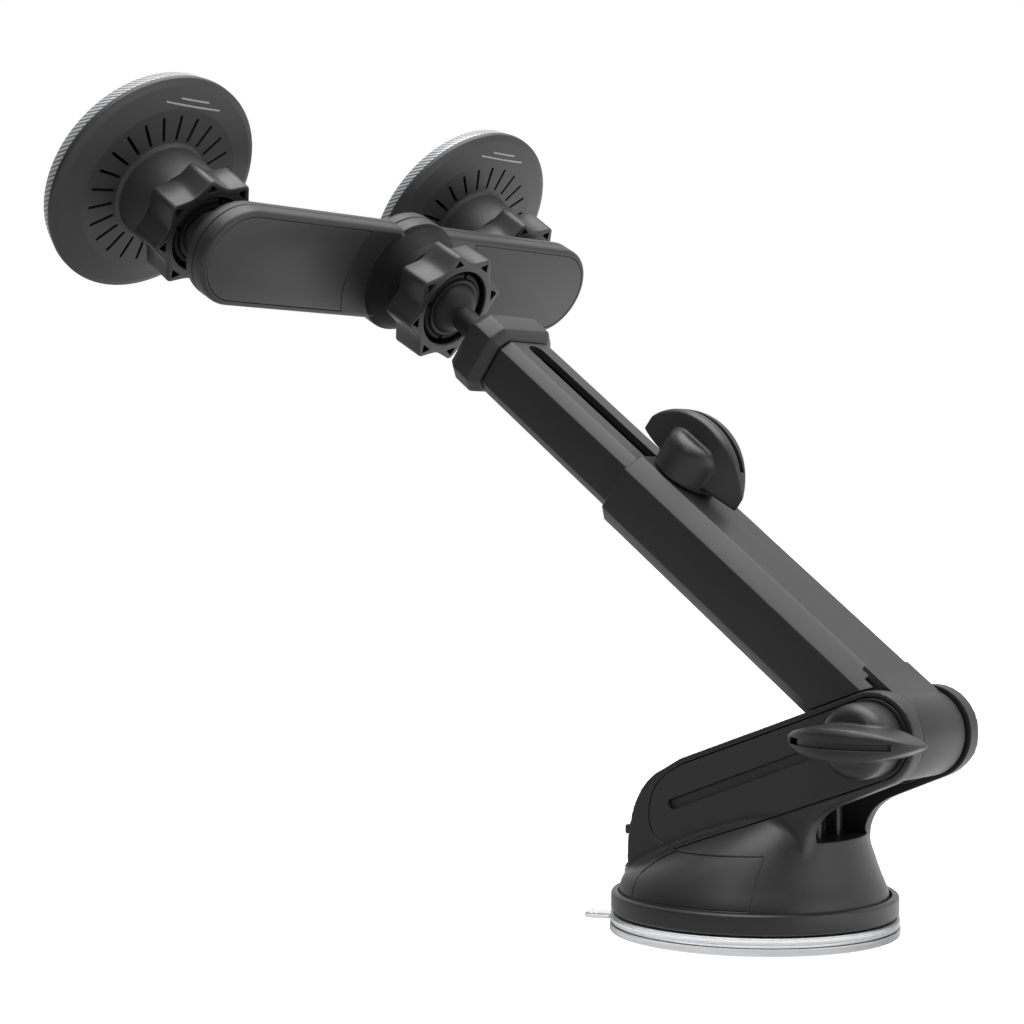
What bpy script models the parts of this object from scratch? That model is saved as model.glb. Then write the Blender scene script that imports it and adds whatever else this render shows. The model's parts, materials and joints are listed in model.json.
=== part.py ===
"""Dual-head magnetic phone mount for a car: suction base, folding telescopic arm,
crossbar on a ball joint and two round magnetic heads on ball joints of their own.

Lengths are metres, +Z is up. The origin is the centre of the suction face.
The base is drawn with its shell's seat near z = 0 and raised by LIFT at the end, because
the gel pad reaches below it. The arm folds and telescopes in the XZ plane; the crossbar runs along Y at rest.
"""
import math

import bmesh
import bpy
from mathutils import Matrix, Vector

MM = 0.001
GAP = 0.3 * MM                      # clearance between separate pieces
WELD = 0.005 * MM                   # corners closer than this after a Boolean are one corner

# ---- driving dimensions -------------------------------------------------------------
LIFT = 1.2 * MM                     # from the origin up to the level the base is drawn from
PAD_RADIUS = 35.3 * MM
PAD_HEIGHT = 3.2 * MM
RING_RADIUS = 35.0 * MM
RING_BOTTOM = 3.5 * MM
RING_TOP = 8.4 * MM
SHELL_FOOT_RADIUS = 32.9 * MM

HINGE = Vector((42.2 * MM, 0.0, 49.2 * MM))
FORK_HALF_WIDTH = 15.0 * MM         # outside faces of the two cheeks
FORK_GAP_HALF = 10.9 * MM           # inside faces of the two cheeks
FORK_SLOPE = math.radians(20.3)     # rise of the fork toward the hinge
SHOULDER_SLOPE = math.radians(18.8)  # rise of the bell's shoulder under the fork
BELL_STEPS = 44
CHEEK_RADIUS = 11.1 * MM

ARM_SLOPE = math.radians(37.0)      # rest pose of the arm, measured from the table
OUTER_HALF_WIDTH = 12.65 * MM
OUTER_HALF_DEPTH = 9.85 * MM
OUTER_CHAMFER = 4.0 * MM
OUTER_END = 96.0 * MM               # distances along the arm are from the hinge axis
INNER_HALF_WIDTH = 10.0 * MM
INNER_HALF_DEPTH = 7.8 * MM
INNER_CHAMFER = 2.6 * MM
INNER_START = 66.5 * MM
CAP_START = 149.0 * MM
CAP_END = 162.0 * MM
CLAMP_AT = 87.0 * MM
SLOT_HALF_WIDTH = 2.7 * MM
SLOT_START = 70.0 * MM
SLOT_END = 147.5 * MM
CENTRE_BALL_AT = 178.8 * MM

BALL_RADIUS = 7.5 * MM
NECK_RADIUS = 3.4 * MM
NUT_FRONT = 3.0 * MM                # heights of a socket are from its ball centre
NUT_BACK = -7.0 * MM
NUT_LOBES = 8
NUT_TIP_RADIUS = 16.1 * MM
NUT_VALLEY_RADIUS = 13.5 * MM
HUB_RADIUS = 13.2 * MM
HUB_TOP = -7.5 * MM
HUB_BORE_RADIUS = 11.0 * MM
HUB_FLOOR = -15.0 * MM

BAR_SLOPE = math.radians(29.5)      # rest tilt of the crossbar's front normal below level
BAR_FRONT = -16.2 * MM
BAR_SPLIT = -20.5 * MM
BAR_REAR = -25.0 * MM
BAR_HALF_SPAN = 62.0 * MM           # from the middle of the bar to a head's axis
BAR_HALF_HEIGHT = 13.5 * MM
BAR_HUB_RADIUS = 16.2 * MM
PANEL_MARGIN = 1.6 * MM
PANEL_DEPTH = 1.2 * MM
PANEL_HUB_RADIUS = 24.0 * MM

HEAD_SLOPE = math.radians(35.0)     # rest tilt of a head's axis below level
HEAD_BALL = -34.8 * MM              # height of a head's ball in the crossbar's frame
HEAD_RADIUS = 31.4 * MM
HEAD_RIM = -22.5 * MM               # heights of a head are from its ball centre
HEAD_SPLIT = HEAD_RIM - 1.8 * MM
BAND_FRONT = HEAD_RIM - 5.6 * MM
BAND_FRONT_RADIUS = 30.3 * MM
FACE_FRONT = HEAD_RIM - 6.4 * MM
VENT_COUNT = 24
VENT_INNER = 14.6 * MM
VENT_OUTER = 21.6 * MM

WING_HALF_LENGTH = 17.4 * MM
WING_DEPTH = 14.0 * MM
WING_ROUND = 20.0 * MM
WING_HALF_THICKNESS = 4.3 * MM
KNOB_BOSS_RADIUS = 8.7 * MM
KNOB_DOME = 3.2 * MM

LEVER_PIVOT = Vector((-28.6 * MM, 0.0, 12.0 * MM))
LEVER_HALF_WIDTH = 12.0 * MM
LEVER_TOP = 24.4 * MM
LIP_BOTTOM = 19.8 * MM
LIP_TOP = 22.2 * MM

# ---- scene and materials ------------------------------------------------------------
for old in list(bpy.data.objects):
    bpy.data.objects.remove(old, do_unlink=True)

PARTS = bpy.data.collections.new("car_phone_mount")
bpy.context.scene.collection.children.link(PARTS)


def material(name, color, roughness, metallic=0.0, alpha=1.0):
    result = bpy.data.materials.new(name)
    result.use_nodes = True
    shader = result.node_tree.nodes["Principled BSDF"]
    shader.inputs["Base Color"].default_value = (*color, 1.0)
    shader.inputs["Roughness"].default_value = roughness
    shader.inputs["Metallic"].default_value = metallic
    shader.inputs["Alpha"].default_value = alpha
    result.diffuse_color = (*color, alpha)
    return result


BLACK = material("black_plastic", (0.03, 0.03, 0.032), 0.45)
BLACK_TRIM = material("black_trim", (0.045, 0.045, 0.048), 0.38)
BLACK_RUBBER = material("black_rubber", (0.02, 0.02, 0.02), 0.75)
NYLON = material("nylon_liner", (0.10, 0.10, 0.11), 0.55)
CARBON = material("carbon_look_band", (0.06, 0.06, 0.065), 0.30)
CLEAR = material("clear_gel", (0.80, 0.82, 0.84), 0.15, alpha=0.35)
STEEL = material("steel", (0.55, 0.56, 0.58), 0.32, metallic=1.0)
MAGNET = material("magnet_nickel", (0.45, 0.45, 0.47), 0.30, metallic=1.0)


# ---- frames -------------------------------------------------------------------------
def frame(name, origin, x_axis, z_axis, parent=None):
    """Empty whose local axes carry the pieces of one moving group."""
    x_axis = Vector(x_axis).normalized()
    z_axis = Vector(z_axis).normalized()
    y_axis = z_axis.cross(x_axis)
    matrix = Matrix((x_axis, y_axis, z_axis)).transposed().to_4x4()
    matrix.translation = Vector(origin)
    empty = bpy.data.objects.new(name, None)
    empty.empty_display_size = 10 * MM
    PARTS.objects.link(empty)
    empty.matrix_world = matrix
    if parent is not None:
        empty.parent = parent
        empty.matrix_parent_inverse = parent.matrix_world.inverted()
    return empty


ARM_AXIS = Vector((-math.cos(ARM_SLOPE), 0.0, math.sin(ARM_SLOPE)))
ARM_TOP = Vector((math.sin(ARM_SLOPE), 0.0, math.cos(ARM_SLOPE)))
BAR_AXIS = Vector((math.cos(BAR_SLOPE), 0.0, -math.sin(BAR_SLOPE)))
HEAD_AXIS = Vector((math.cos(HEAD_SLOPE), 0.0, -math.sin(HEAD_SLOPE)))
ACROSS = Vector((0.0, 1.0, 0.0))
CENTRE_BALL = HINGE + CENTRE_BALL_AT * ARM_AXIS

BASE = frame("frame_base", (0.0, 0.0, 0.0), (1.0, 0.0, 0.0), (0.0, 0.0, 1.0))
LEVER = frame("frame_lever", LEVER_PIVOT, (1.0, 0.0, 0.0), (0.0, 0.0, 1.0), BASE)
KNOB = frame("frame_hinge_knob", HINGE - FORK_HALF_WIDTH * ACROSS, (1.0, 0.0, 0.0),
             -ACROSS, BASE)
ARM = frame("frame_arm", HINGE, ARM_AXIS, ARM_TOP, BASE)
CLAMP = frame("frame_clamp_knob", HINGE + CLAMP_AT * ARM_AXIS + OUTER_HALF_DEPTH * ARM_TOP,
              ARM_AXIS, ARM_TOP, ARM)
STUD = frame("frame_centre_stud", CENTRE_BALL, ACROSS, -ARM_AXIS, ARM)
BAR = frame("frame_crossbar", CENTRE_BALL, ACROSS, BAR_AXIS, STUD)
HEAD_FRAMES = {}
HEAD_STUD_FRAMES = {}
for side, sign in (("left", -1.0), ("right", 1.0)):
    head_ball = CENTRE_BALL + sign * BAR_HALF_SPAN * ACROSS + HEAD_BALL * BAR_AXIS
    HEAD_STUD_FRAMES[side] = frame("frame_stud_" + side, head_ball, ACROSS, BAR_AXIS, BAR)
    HEAD_FRAMES[side] = frame("frame_head_" + side, head_ball, ACROSS, HEAD_AXIS,
                              HEAD_STUD_FRAMES[side])


# ---- mesh builders ------------------------------------------------------------------
def add_piece(name, work, look, carrier):
    """Make an object of a bmesh and put it in the part's collection."""
    mesh = bpy.data.meshes.new(name)
    work.to_mesh(mesh)
    work.free()
    mesh.materials.append(look)
    piece = bpy.data.objects.new(name, mesh)
    PARTS.objects.link(piece)
    piece.parent = carrier
    return piece


def face_outward(work):
    bmesh.ops.recalc_face_normals(work, faces=work.faces)
    if work.calc_volume(signed=True) < 0:
        bmesh.ops.reverse_faces(work, faces=work.faces)


def revolve(name, profile, look=BLACK, carrier=BASE, segments=40):
    """Turn (radius, height) points round local Z with a Screw modifier."""
    work = bmesh.new()
    corners = [work.verts.new((radius, 0.0, height)) for radius, height in profile]
    on_axis = profile[0][0] < WELD and profile[-1][0] < WELD
    for k in range(len(corners) - (1 if on_axis else 0)):
        work.edges.new((corners[k], corners[(k + 1) % len(corners)]))
    piece = add_piece(name, work, look, carrier)
    turn = piece.modifiers.new("turn", "SCREW")
    turn.angle = 2 * math.pi
    turn.steps = segments
    turn.render_steps = segments
    turn.use_merge_vertices = True
    turn.merge_threshold = 0.01 * MM
    bake(piece)
    work = bmesh.new()
    work.from_mesh(piece.data)
    face_outward(work)
    work.to_mesh(piece.data)
    work.free()
    return piece


def loft(name, sections, look=BLACK, carrier=BASE):
    """Skin a list of unlike closed sections, each with the same number of 3-D points."""
    work = bmesh.new()
    rings = [[work.verts.new(point) for point in section] for section in sections]
    work.faces.new(rings[0])
    work.faces.new(rings[-1])
    count = len(rings[0])
    for low, high in zip(rings, rings[1:]):
        for i in range(count):
            j = (i + 1) % count
            work.faces.new((low[i], low[j], high[j]))
            work.faces.new((low[i], high[j], high[i]))
    face_outward(work)
    return add_piece(name, work, look, carrier)


# Where an outline's first and second coordinate and its extrusion go, by extrusion axis.
PLACING = {"z": Matrix.Identity(3),
           "y": Matrix(((1, 0, 0), (0, 0, 1), (0, 1, 0))),
           "x": Matrix(((0, 0, 1), (1, 0, 0), (0, 1, 0)))}


def prism(name, outline, low, high, axis="z", look=BLACK, carrier=BASE):
    """Extrude a 2-D outline: (x, y) along z, (x, z) along y, (y, z) along x."""
    work = bmesh.new()
    face = work.faces.new([work.verts.new((a, b, low)) for a, b in outline])
    grown = bmesh.ops.extrude_face_region(work, geom=[face])
    top = [item for item in grown["geom"] if isinstance(item, bmesh.types.BMVert)]
    bmesh.ops.translate(work, vec=(0.0, 0.0, high - low), verts=top)
    bmesh.ops.transform(work, matrix=PLACING[axis].to_4x4(), verts=work.verts)
    face_outward(work)
    return add_piece(name, work, look, carrier)


def box(name, low, high, look=BLACK, carrier=BASE):
    low, high = Vector(low), Vector(high)
    work = bmesh.new()
    bmesh.ops.create_cube(work, size=1.0)
    bmesh.ops.scale(work, vec=high - low, verts=work.verts)
    bmesh.ops.translate(work, vec=(low + high) / 2, verts=work.verts)
    return add_piece(name, work, look, carrier)


def disc(name, radius, low, high, look=BLACK, carrier=BASE, segments=32, axis="z",
         centre=(0.0, 0.0)):
    """Cylinder along one axis; its centre is given in the outline's two coordinates."""
    work = bmesh.new()
    bmesh.ops.create_cone(work, cap_ends=True, segments=segments, radius1=radius,
                          radius2=radius, depth=high - low)
    middle = (centre[0], centre[1], (low + high) / 2)
    bmesh.ops.translate(work, vec=middle, verts=work.verts)
    bmesh.ops.transform(work, matrix=PLACING[axis].to_4x4(), verts=work.verts)
    face_outward(work)
    return add_piece(name, work, look, carrier)


def arc(centre, radius, start, stop, steps):
    points = []
    for i in range(steps + 1):
        angle = start + (stop - start) * i / steps
        points.append((centre[0] + radius * math.cos(angle),
                       centre[1] + radius * math.sin(angle)))
    return points


def chamfered(half_width, half_depth, chamfer):
    """Eight-sided outline of a rectangle with its corners cut off."""
    w, d, c = half_width, half_depth, chamfer
    return [(-w, -d + c), (-w + c, -d), (w - c, -d), (w, -d + c),
            (w, d - c), (w - c, d), (-w + c, d), (-w, d - c)]


def bake(piece):
    """Replace a piece's mesh by what its modifiers make of it."""
    bpy.context.view_layer.update()
    evaluated = piece.evaluated_get(bpy.context.evaluated_depsgraph_get())
    mesh = bpy.data.meshes.new_from_object(evaluated)
    work = bmesh.new()
    work.from_mesh(mesh)
    bmesh.ops.remove_doubles(work, verts=work.verts, dist=WELD)
    bmesh.ops.dissolve_degenerate(work, edges=work.edges, dist=WELD)
    open_edges = [edge for edge in work.edges if edge.is_boundary]
    bmesh.ops.holes_fill(work, edges=open_edges, sides=6)
    work.to_mesh(mesh)
    work.free()
    piece.modifiers.clear()
    piece.data = mesh
    return piece


def combine(piece, tools, operation):
    for tool in tools:
        modifier = piece.modifiers.new("combine", "BOOLEAN")
        modifier.solver = "EXACT"
        modifier.operation = operation
        modifier.object = tool
        bake(piece)
        bpy.data.objects.remove(tool, do_unlink=True)
    return piece


def cut(piece, *tools):
    return combine(piece, tools, "DIFFERENCE")


def join(piece, *tools):
    return combine(piece, tools, "UNION")


def keep(piece, *tools):
    return combine(piece, tools, "INTERSECT")


# ---- suction base -------------------------------------------------------------------
def build_suction_pad():
    """Clear pad whose edge shows two layers with a groove between them."""
    edge = 0.4 * MM
    groove = (0.5 * MM, 1.2 * MM)
    pad = revolve("suction_pad", [
        (0.0, -LIFT), (PAD_RADIUS - edge, -LIFT), (PAD_RADIUS, edge - LIFT),
        (PAD_RADIUS, groove[0]), (PAD_RADIUS - edge, groove[0] + 0.2 * MM),
        (PAD_RADIUS - edge, groove[1]), (PAD_RADIUS - 0.1 * MM, groove[1] + 0.2 * MM),
        (PAD_RADIUS - 0.1 * MM, PAD_HEIGHT - 0.8 * MM), (PAD_RADIUS - 0.8 * MM, PAD_HEIGHT),
        (0.0, PAD_HEIGHT)], CLEAR, BASE, 48)
    tab_angle = math.radians(213)
    along = Vector((math.cos(tab_angle), math.sin(tab_angle), 0.0))
    side = Vector((-along.y, along.x, 0.0))
    shape = [(33.0 * MM, 5.0 * MM), (39.8 * MM, 4.2 * MM), (41.4 * MM, 2.6 * MM)]
    outline = [along * reach + side * half for reach, half in shape]
    outline += [along * reach - side * half for reach, half in reversed(shape)]
    tab = prism("tab", [(p.x, p.y) for p in outline], 1.5 * MM, 2.3 * MM)
    return join(pad, tab)


def build_rim_ring():
    inner = SHELL_FOOT_RADIUS + GAP
    edge = 0.8 * MM
    revolve("rim_ring", [
        (inner, RING_BOTTOM), (RING_RADIUS - edge, RING_BOTTOM),
        (RING_RADIUS, RING_BOTTOM + edge), (RING_RADIUS, RING_TOP - edge),
        (RING_RADIUS - edge, RING_TOP), (inner, RING_TOP)], BLACK_TRIM, BASE, 48)


def build_suction_plate():
    stem = 4.0 * MM
    revolve("suction_plate", [
        (0.0, 6.1 * MM), (21.0 * MM, 6.1 * MM), (21.4 * MM, 6.5 * MM),
        (21.4 * MM, 7.6 * MM), (10.0 * MM, 8.2 * MM), (stem, 9.2 * MM),
        (stem, 16.0 * MM), (0.0, 16.0 * MM)], BLACK, BASE, 32)


def base_body(name, inset=0.0):
    """Bell that leans back over the rear edge, joined to the rising two-cheek fork."""
    sizes = [(3.8, 0.0, -0.2, 32.9, 32.9), (8.6, 0.0, -0.3, 32.8, 32.8),
             (12.5, 0.15, -1.2, 31.6, 31.4), (16.0, 0.4, -1.7, 30.4, 29.2),
             (19.0, 0.65, -1.9, 29.3, 26.2), (21.6, 0.85, -2.0, 27.8, 22.6),
             (23.8, 1.0, -2.0, 25.4, 18.6), (25.3, 1.0, -2.0, 20.0, 13.6)]
    lean = math.tan(SHOULDER_SLOPE)
    sections = []
    for height, lean_share, centre, half_x, half_y in sizes:
        section = []
        for i in range(BELL_STEPS):
            angle = 2 * math.pi * i / BELL_STEPS
            x = centre * MM + (half_x * MM - inset) * math.cos(angle)
            z = height * MM * (1.0 - inset / RING_RADIUS) + lean_share * lean * x
            section.append((x, (half_y * MM - inset) * math.sin(angle), z))
        sections.append(section)
    bell = loft(name, sections)
    return join(bell, prism("fork", fork_outline(inset), inset - FORK_HALF_WIDTH,
                            FORK_HALF_WIDTH - inset, "y"))


def fork_outline(inset=0.0):
    """Side view of the fork: sloping top, round cheek ends and the curve under them."""
    rise = math.tan(FORK_SLOPE)
    centre = (HINGE.x, HINGE.z)
    radius = CHEEK_RADIUS - inset
    cheek = arc(centre, radius, FORK_SLOPE - math.pi / 2, FORK_SLOPE + math.pi / 2, 14)
    top_end = cheek[-1]
    rear_x = -12.0 * MM
    rear_top = (rear_x, top_end[1] - (top_end[0] - rear_x) * rise)
    under = [(23.4, 12.0), (23.8, 19.0), (24.6, 25.0), (26.6, 29.0), (30.0, 31.9), (34.6, 34.0)]
    under = [(x * MM - inset, z * MM + inset) for x, z in under]
    rear = [(-17.4, 38.4), (-21.2, 35.6), (-24.0, 32.2), (-26.0, 28.0), (-27.3, 22.5),
            (-28.0, 17.0), (-28.2, 12.0)]
    rear = [(x * MM + inset, z * MM) for x, z in rear]
    return under + cheek + [rear_top] + rear


def cover_outline(shrink):
    """Side view of the inlaid cover that runs from the rear round to the cheek end."""
    radius = CHEEK_RADIUS - 1.5 * MM - shrink
    centre = (HINGE.x, HINGE.z)
    cheek = arc(centre, radius, FORK_SLOPE - math.pi / 2, FORK_SLOPE + math.pi / 2, 12)
    rise = math.tan(FORK_SLOPE)
    low, high = cheek[0], cheek[-1]
    rear_low = (-10.0 * MM, low[1] - (low[0] + 10.0 * MM) * rise)
    rear_high = (-11.0 * MM, high[1] - (high[0] + 11.0 * MM) * rise)
    nose = [(-15.8, 37.0), (-19.2, 33.6), (-20.8, 29.0), (-20.8, 25.0), (-19.4, 21.8),
            (-16.6, 20.0), (-13.4, 19.8)]
    nose = [(x * MM + shrink, z * MM) for x, z in nose]
    return cheek + [rear_high] + nose + [rear_low]


def skirt_outline(shrink):
    """Side view of the lower skirt panel, with one cut-off corner."""
    s = shrink
    return [(-15.4 * MM + s, 8.8 * MM + s), (17.0 * MM - s, 8.8 * MM + s),
            (17.0 * MM - s, 20.6 * MM - s), (-8.0 * MM + s, 19.7 * MM - s),
            (-12.4 * MM + s, 17.4 * MM - s), (-15.2 * MM + s, 14.0 * MM - s)]


def build_inlay(name, outline, depth, sign, look):
    """Thin panel let into one side of the base, following the surface under it."""
    far = 45.0 * MM
    low, high = (-far, -2.0 * MM) if sign < 0 else (2.0 * MM, far)
    skin = keep(base_body(name), prism("edge", outline(GAP / 2), low, high, "y"))
    skin = cut(skin, base_body("core", depth - GAP))
    skin.data.materials.clear()
    skin.data.materials.append(look)
    return skin


def inlay_pocket(outline, depth, sign):
    far = 45.0 * MM
    low, high = (-far, -2.0 * MM) if sign < 0 else (2.0 * MM, far)
    pocket = prism("pocket", outline(-GAP / 2), low, high, "y")
    return cut(pocket, base_body("core", depth))


COVER_DEPTH = 1.6 * MM
SKIRT_DEPTH = 1.5 * MM


def build_base():
    shell = base_body("base_shell")
    slot = [(18.0, 23.5), (62.0, 23.5), (62.0, 72.0), (19.5, 72.0), (19.5, 52.7),
            (30.0, 45.0), (30.3, 40.2), (18.0, 36.5)]
    slot = [(x * MM, z * MM) for x, z in slot]
    cut(shell, prism("slot", slot, -FORK_GAP_HALF, FORK_GAP_HALF, "y"))
    for sign in (-1.0, 1.0):
        cut(shell, inlay_pocket(cover_outline, COVER_DEPTH, sign))
        cut(shell, inlay_pocket(skirt_outline, SKIRT_DEPTH, sign))
    cavity = [(0.0, 3.0), (28.5, 3.0), (28.0, 5.6), (22.4, 9.4), (21.6, 14.0),
              (18.0, 17.6), (0.0, 18.0)]
    cut(shell, revolve("cavity", [(r * MM, z * MM) for r, z in cavity], segments=32))
    half = LEVER_HALF_WIDTH + GAP
    cut(shell, box("lever_pocket", (-45 * MM, -half, 9.3 * MM),
                   (-24.7 * MM, half, LEVER_TOP + 2 * GAP)))
    pin = 1.3 * MM
    pin_at = (LEVER_PIVOT.x, LEVER_PIVOT.z)
    reach = LEVER_HALF_WIDTH + 1.9 * MM
    cut(shell, disc("pin_bore", pin, -reach, reach, segments=12, axis="y", centre=pin_at))
    bolt_at = (HINGE.x, HINGE.z)
    cut(shell, disc("bolt_bore", 3.2 * MM, -20 * MM, 20 * MM, segments=20, axis="y",
                    centre=bolt_at))
    cut(shell, disc("head_pocket", 6.3 * MM, 12.0 * MM, 20 * MM, segments=6, axis="y",
                    centre=bolt_at))
    ribs = []
    for middle in (-4.2, 4.2):
        ribs.append(box("rib", (16.0 * MM, (middle - 0.8) * MM, 22.5 * MM),
                        (21.5 * MM, (middle + 0.8) * MM, 38.0 * MM)))
    join(shell, *ribs)
    for sign, word in ((-1.0, "near"), (1.0, "far")):
        cover = build_inlay("side_cover_" + word, cover_outline, COVER_DEPTH, sign, BLACK_TRIM)
        centre = (HINGE.x, HINGE.z)
        cut(cover, disc("hole", 6.8 * MM, -20 * MM, 20 * MM, segments=24, axis="y",
                        centre=centre))
        build_inlay("skirt_panel_" + word, skirt_outline, SKIRT_DEPTH, sign, BLACK)
    return shell


def build_lever():
    """Flush lock lever at the rear, with a finger lip and a round pivot end."""
    lever = base_body("lock_lever")
    half = LEVER_HALF_WIDTH
    keep(lever, box("block", (-40 * MM, -half, 12.0 * MM), (-25.0 * MM, half, LEVER_TOP)))
    at = (LEVER_PIVOT.x, LEVER_PIVOT.z)
    barrel = disc("barrel", 2.2 * MM, -half, half, segments=20, axis="y", centre=at)
    lip = box("lip", (-34.6 * MM, -7.0 * MM, LIP_BOTTOM), (-26.0 * MM, 7.0 * MM, LIP_TOP))
    join(lever, barrel, lip)
    cut(lever, disc("bore", 1.3 * MM, -half - MM, half + MM, segments=12, axis="y", centre=at))
    reach = half + 1.6 * MM
    disc("lever_pin", 1.0 * MM, -reach, reach, STEEL, segments=12, axis="y", centre=at)


# ---- hinge and knobs ----------------------------------------------------------------
def build_hinge():
    at = (HINGE.x, HINGE.z)
    bolt = disc("hinge_bolt", 2.9 * MM, -22.0 * MM, 13.0 * MM, STEEL, segments=20, axis="y",
                centre=at)
    join(bolt, disc("head", 5.9 * MM, 12.3 * MM, 14.8 * MM, STEEL, segments=6, axis="y",
                    centre=at))
    for word, low, high in (("near", -10.7, -9.8), ("far", 9.8, 10.7)):
        washer = disc("friction_washer_" + word, 9.4 * MM, low * MM, high * MM, NYLON,
                      segments=32, axis="y", centre=at)
        cut(washer, disc("hole", 3.2 * MM, -20 * MM, 20 * MM, segments=20, axis="y",
                         centre=at))


def build_wing_knob(name, carrier, boss_height, wing_base, bore_depth):
    """D-shaped wing standing on a round boss; local Z points away from the part."""
    columns = 16
    rounding = 0.8 * MM
    wing = []
    for i in range(columns + 1):
        share = math.sin((-1.0 + 2.0 * i / columns) * math.pi / 2)
        x = WING_HALF_LENGTH * share
        top = wing_base + WING_DEPTH - WING_ROUND + math.sqrt(WING_ROUND ** 2 - x ** 2)
        half = WING_HALF_THICKNESS * (0.08 + 0.92 * (1.0 - abs(share) ** 2.5))
        crest = half * 0.55
        wing.append([(x, -half, wing_base), (x, half, wing_base),
                     (x, half * 0.88, top - rounding), (x, crest, top),
                     (x, -crest, top), (x, -half * 0.88, top - rounding)])
    knob = loft(name, wing, BLACK_TRIM, carrier)
    dome = []
    for radius, height in arc((0.0, 0.0), 1.0, 0.0, math.pi / 2, 5):
        dome.append((KNOB_BOSS_RADIUS * radius, boss_height - KNOB_DOME * (1.0 - height)))
    dome[-1] = (0.0, boss_height)
    boss = revolve("boss", [(0.0, 0.5 * MM), (KNOB_BOSS_RADIUS, 0.5 * MM)] + dome,
                   BLACK_TRIM, carrier, 28)
    join(knob, boss)
    cut(knob, disc("bore", 3.1 * MM, -MM, bore_depth, carrier=carrier, segments=16))
    groove = box("groove", (-10.5 * MM, -0.7 * MM, wing_base + WING_DEPTH - 2.0 * MM),
                 (10.5 * MM, 0.7 * MM, wing_base + WING_DEPTH + 4 * MM), carrier=carrier)
    return cut(knob, groove)


# ---- telescopic arm -----------------------------------------------------------------
def build_outer_tube():
    outline = chamfered(OUTER_HALF_WIDTH, OUTER_HALF_DEPTH, OUTER_CHAMFER)
    tube = prism("outer_tube", outline, 4.8 * MM, OUTER_END, "x", BLACK, ARM)
    clear = FORK_GAP_HALF - GAP
    fork_line = [(2.0, -12.0), (21.5, -12.0), (6.1, 12.0), (2.0, 12.0)]
    fork_line = [(x * MM, z * MM) for x, z in fork_line]
    cut(tube, prism("fork_side", fork_line, -20 * MM, 20 * MM, "y", carrier=ARM))
    cut(tube, box("between_cheeks", (0.0, -clear, -20 * MM), (11.8 * MM, clear, 20 * MM),
                  carrier=ARM))
    core = prism("core", chamfered(clear, OUTER_HALF_DEPTH, OUTER_CHAMFER / 2), 11.6 * MM,
                 24.0 * MM, "x", carrier=ARM)
    join(tube, core)
    half = 9.6 * MM
    barrel_radius = 10.4 * MM
    barrel = disc("barrel", barrel_radius, -half, half, carrier=ARM, segments=36, axis="y")
    neck = box("neck", (0.0, -half, -OUTER_HALF_DEPTH), (14.0 * MM, half, OUTER_HALF_DEPTH),
               carrier=ARM)
    join(tube, barrel, neck)
    fit = 0.35 * MM
    cavity = chamfered(INNER_HALF_WIDTH + fit, INNER_HALF_DEPTH + fit, INNER_CHAMFER)
    cut(tube, prism("cavity", cavity, 15.8 * MM, OUTER_END + MM, "x", carrier=ARM))
    cut(tube, disc("bolt_bore", 3.2 * MM, -20 * MM, 20 * MM, carrier=ARM, segments=20,
                   axis="y"))
    cut(tube, disc("clamp_bore", 3.0 * MM, 0.0, 20 * MM, carrier=ARM, segments=16,
                   centre=(CLAMP_AT, 0.0)))
    return tube


def build_inner_tube():
    outline = chamfered(INNER_HALF_WIDTH, INNER_HALF_DEPTH, INNER_CHAMFER)
    tube = prism("inner_tube", outline, INNER_START, CAP_START - GAP, "x", BLACK, ARM)
    wall = 1.8 * MM
    bore = chamfered(INNER_HALF_WIDTH - wall, INNER_HALF_DEPTH - wall, 1.8 * MM)
    cut(tube, prism("bore", bore, INNER_START - MM, CAP_START + MM, "x", carrier=ARM))
    slot = arc((SLOT_START + SLOT_HALF_WIDTH, 0.0), SLOT_HALF_WIDTH, math.pi / 2,
               1.5 * math.pi, 8)
    slot += arc((SLOT_END - SLOT_HALF_WIDTH, 0.0), SLOT_HALF_WIDTH, -math.pi / 2,
                math.pi / 2, 8)
    cut(tube, prism("slot", slot, 2.0 * MM, 12.0 * MM, "z", carrier=ARM))
    return tube


def build_clamp():
    """Screw from the knob through the slot into a nut bar that rides inside the tube."""
    top = INNER_HALF_DEPTH - 1.8 * MM - 0.2 * MM
    nut = box("clamp_nut", (CLAMP_AT - 5.0 * MM, -5.5 * MM, top - 3.4 * MM),
              (CLAMP_AT + 5.0 * MM, 5.5 * MM, top), STEEL, ARM)
    cut(nut, disc("bore", 2.45 * MM, 0.0, 20 * MM, carrier=ARM, segments=16,
                  centre=(CLAMP_AT, 0.0)))
    disc("clamp_screw", 2.2 * MM, 3.0 * MM, OUTER_HALF_DEPTH + 6.0 * MM, STEEL, ARM,
         segments=16, centre=(CLAMP_AT, 0.0))


def build_top_cap():
    sections = []
    for at, half_width, half_depth, chamfer in (
            (144.0, 7.9, 5.7, 1.6), (149.0, 7.9, 5.7, 1.6), (149.05, 10.6, 8.4, 2.8),
            (151.5, 12.6, 10.0, 3.4), (157.5, 12.6, 10.0, 3.4), (159.5, 11.8, 9.2, 3.2),
            (162.0, 7.5, 6.5, 2.4)):
        ring = chamfered(half_width * MM, half_depth * MM, chamfer * MM)
        sections.append([(at * MM, y, z) for y, z in ring])
    cap = loft("top_cap", sections, BLACK, ARM)
    return cut(cap, disc("bore", 3.3 * MM, 143 * MM, 163 * MM, carrier=ARM, segments=20,
                         axis="x"))


# ---- ball joints --------------------------------------------------------------------
def sphere_arc(radius, low, high, steps):
    """Profile points on a sphere about the origin, from height low to height high."""
    start, stop = math.asin(low / radius), math.asin(high / radius)
    points = []
    for i in range(steps + 1):
        angle = start + (stop - start) * i / steps
        points.append((radius * math.cos(angle), radius * math.sin(angle)))
    return points


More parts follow.
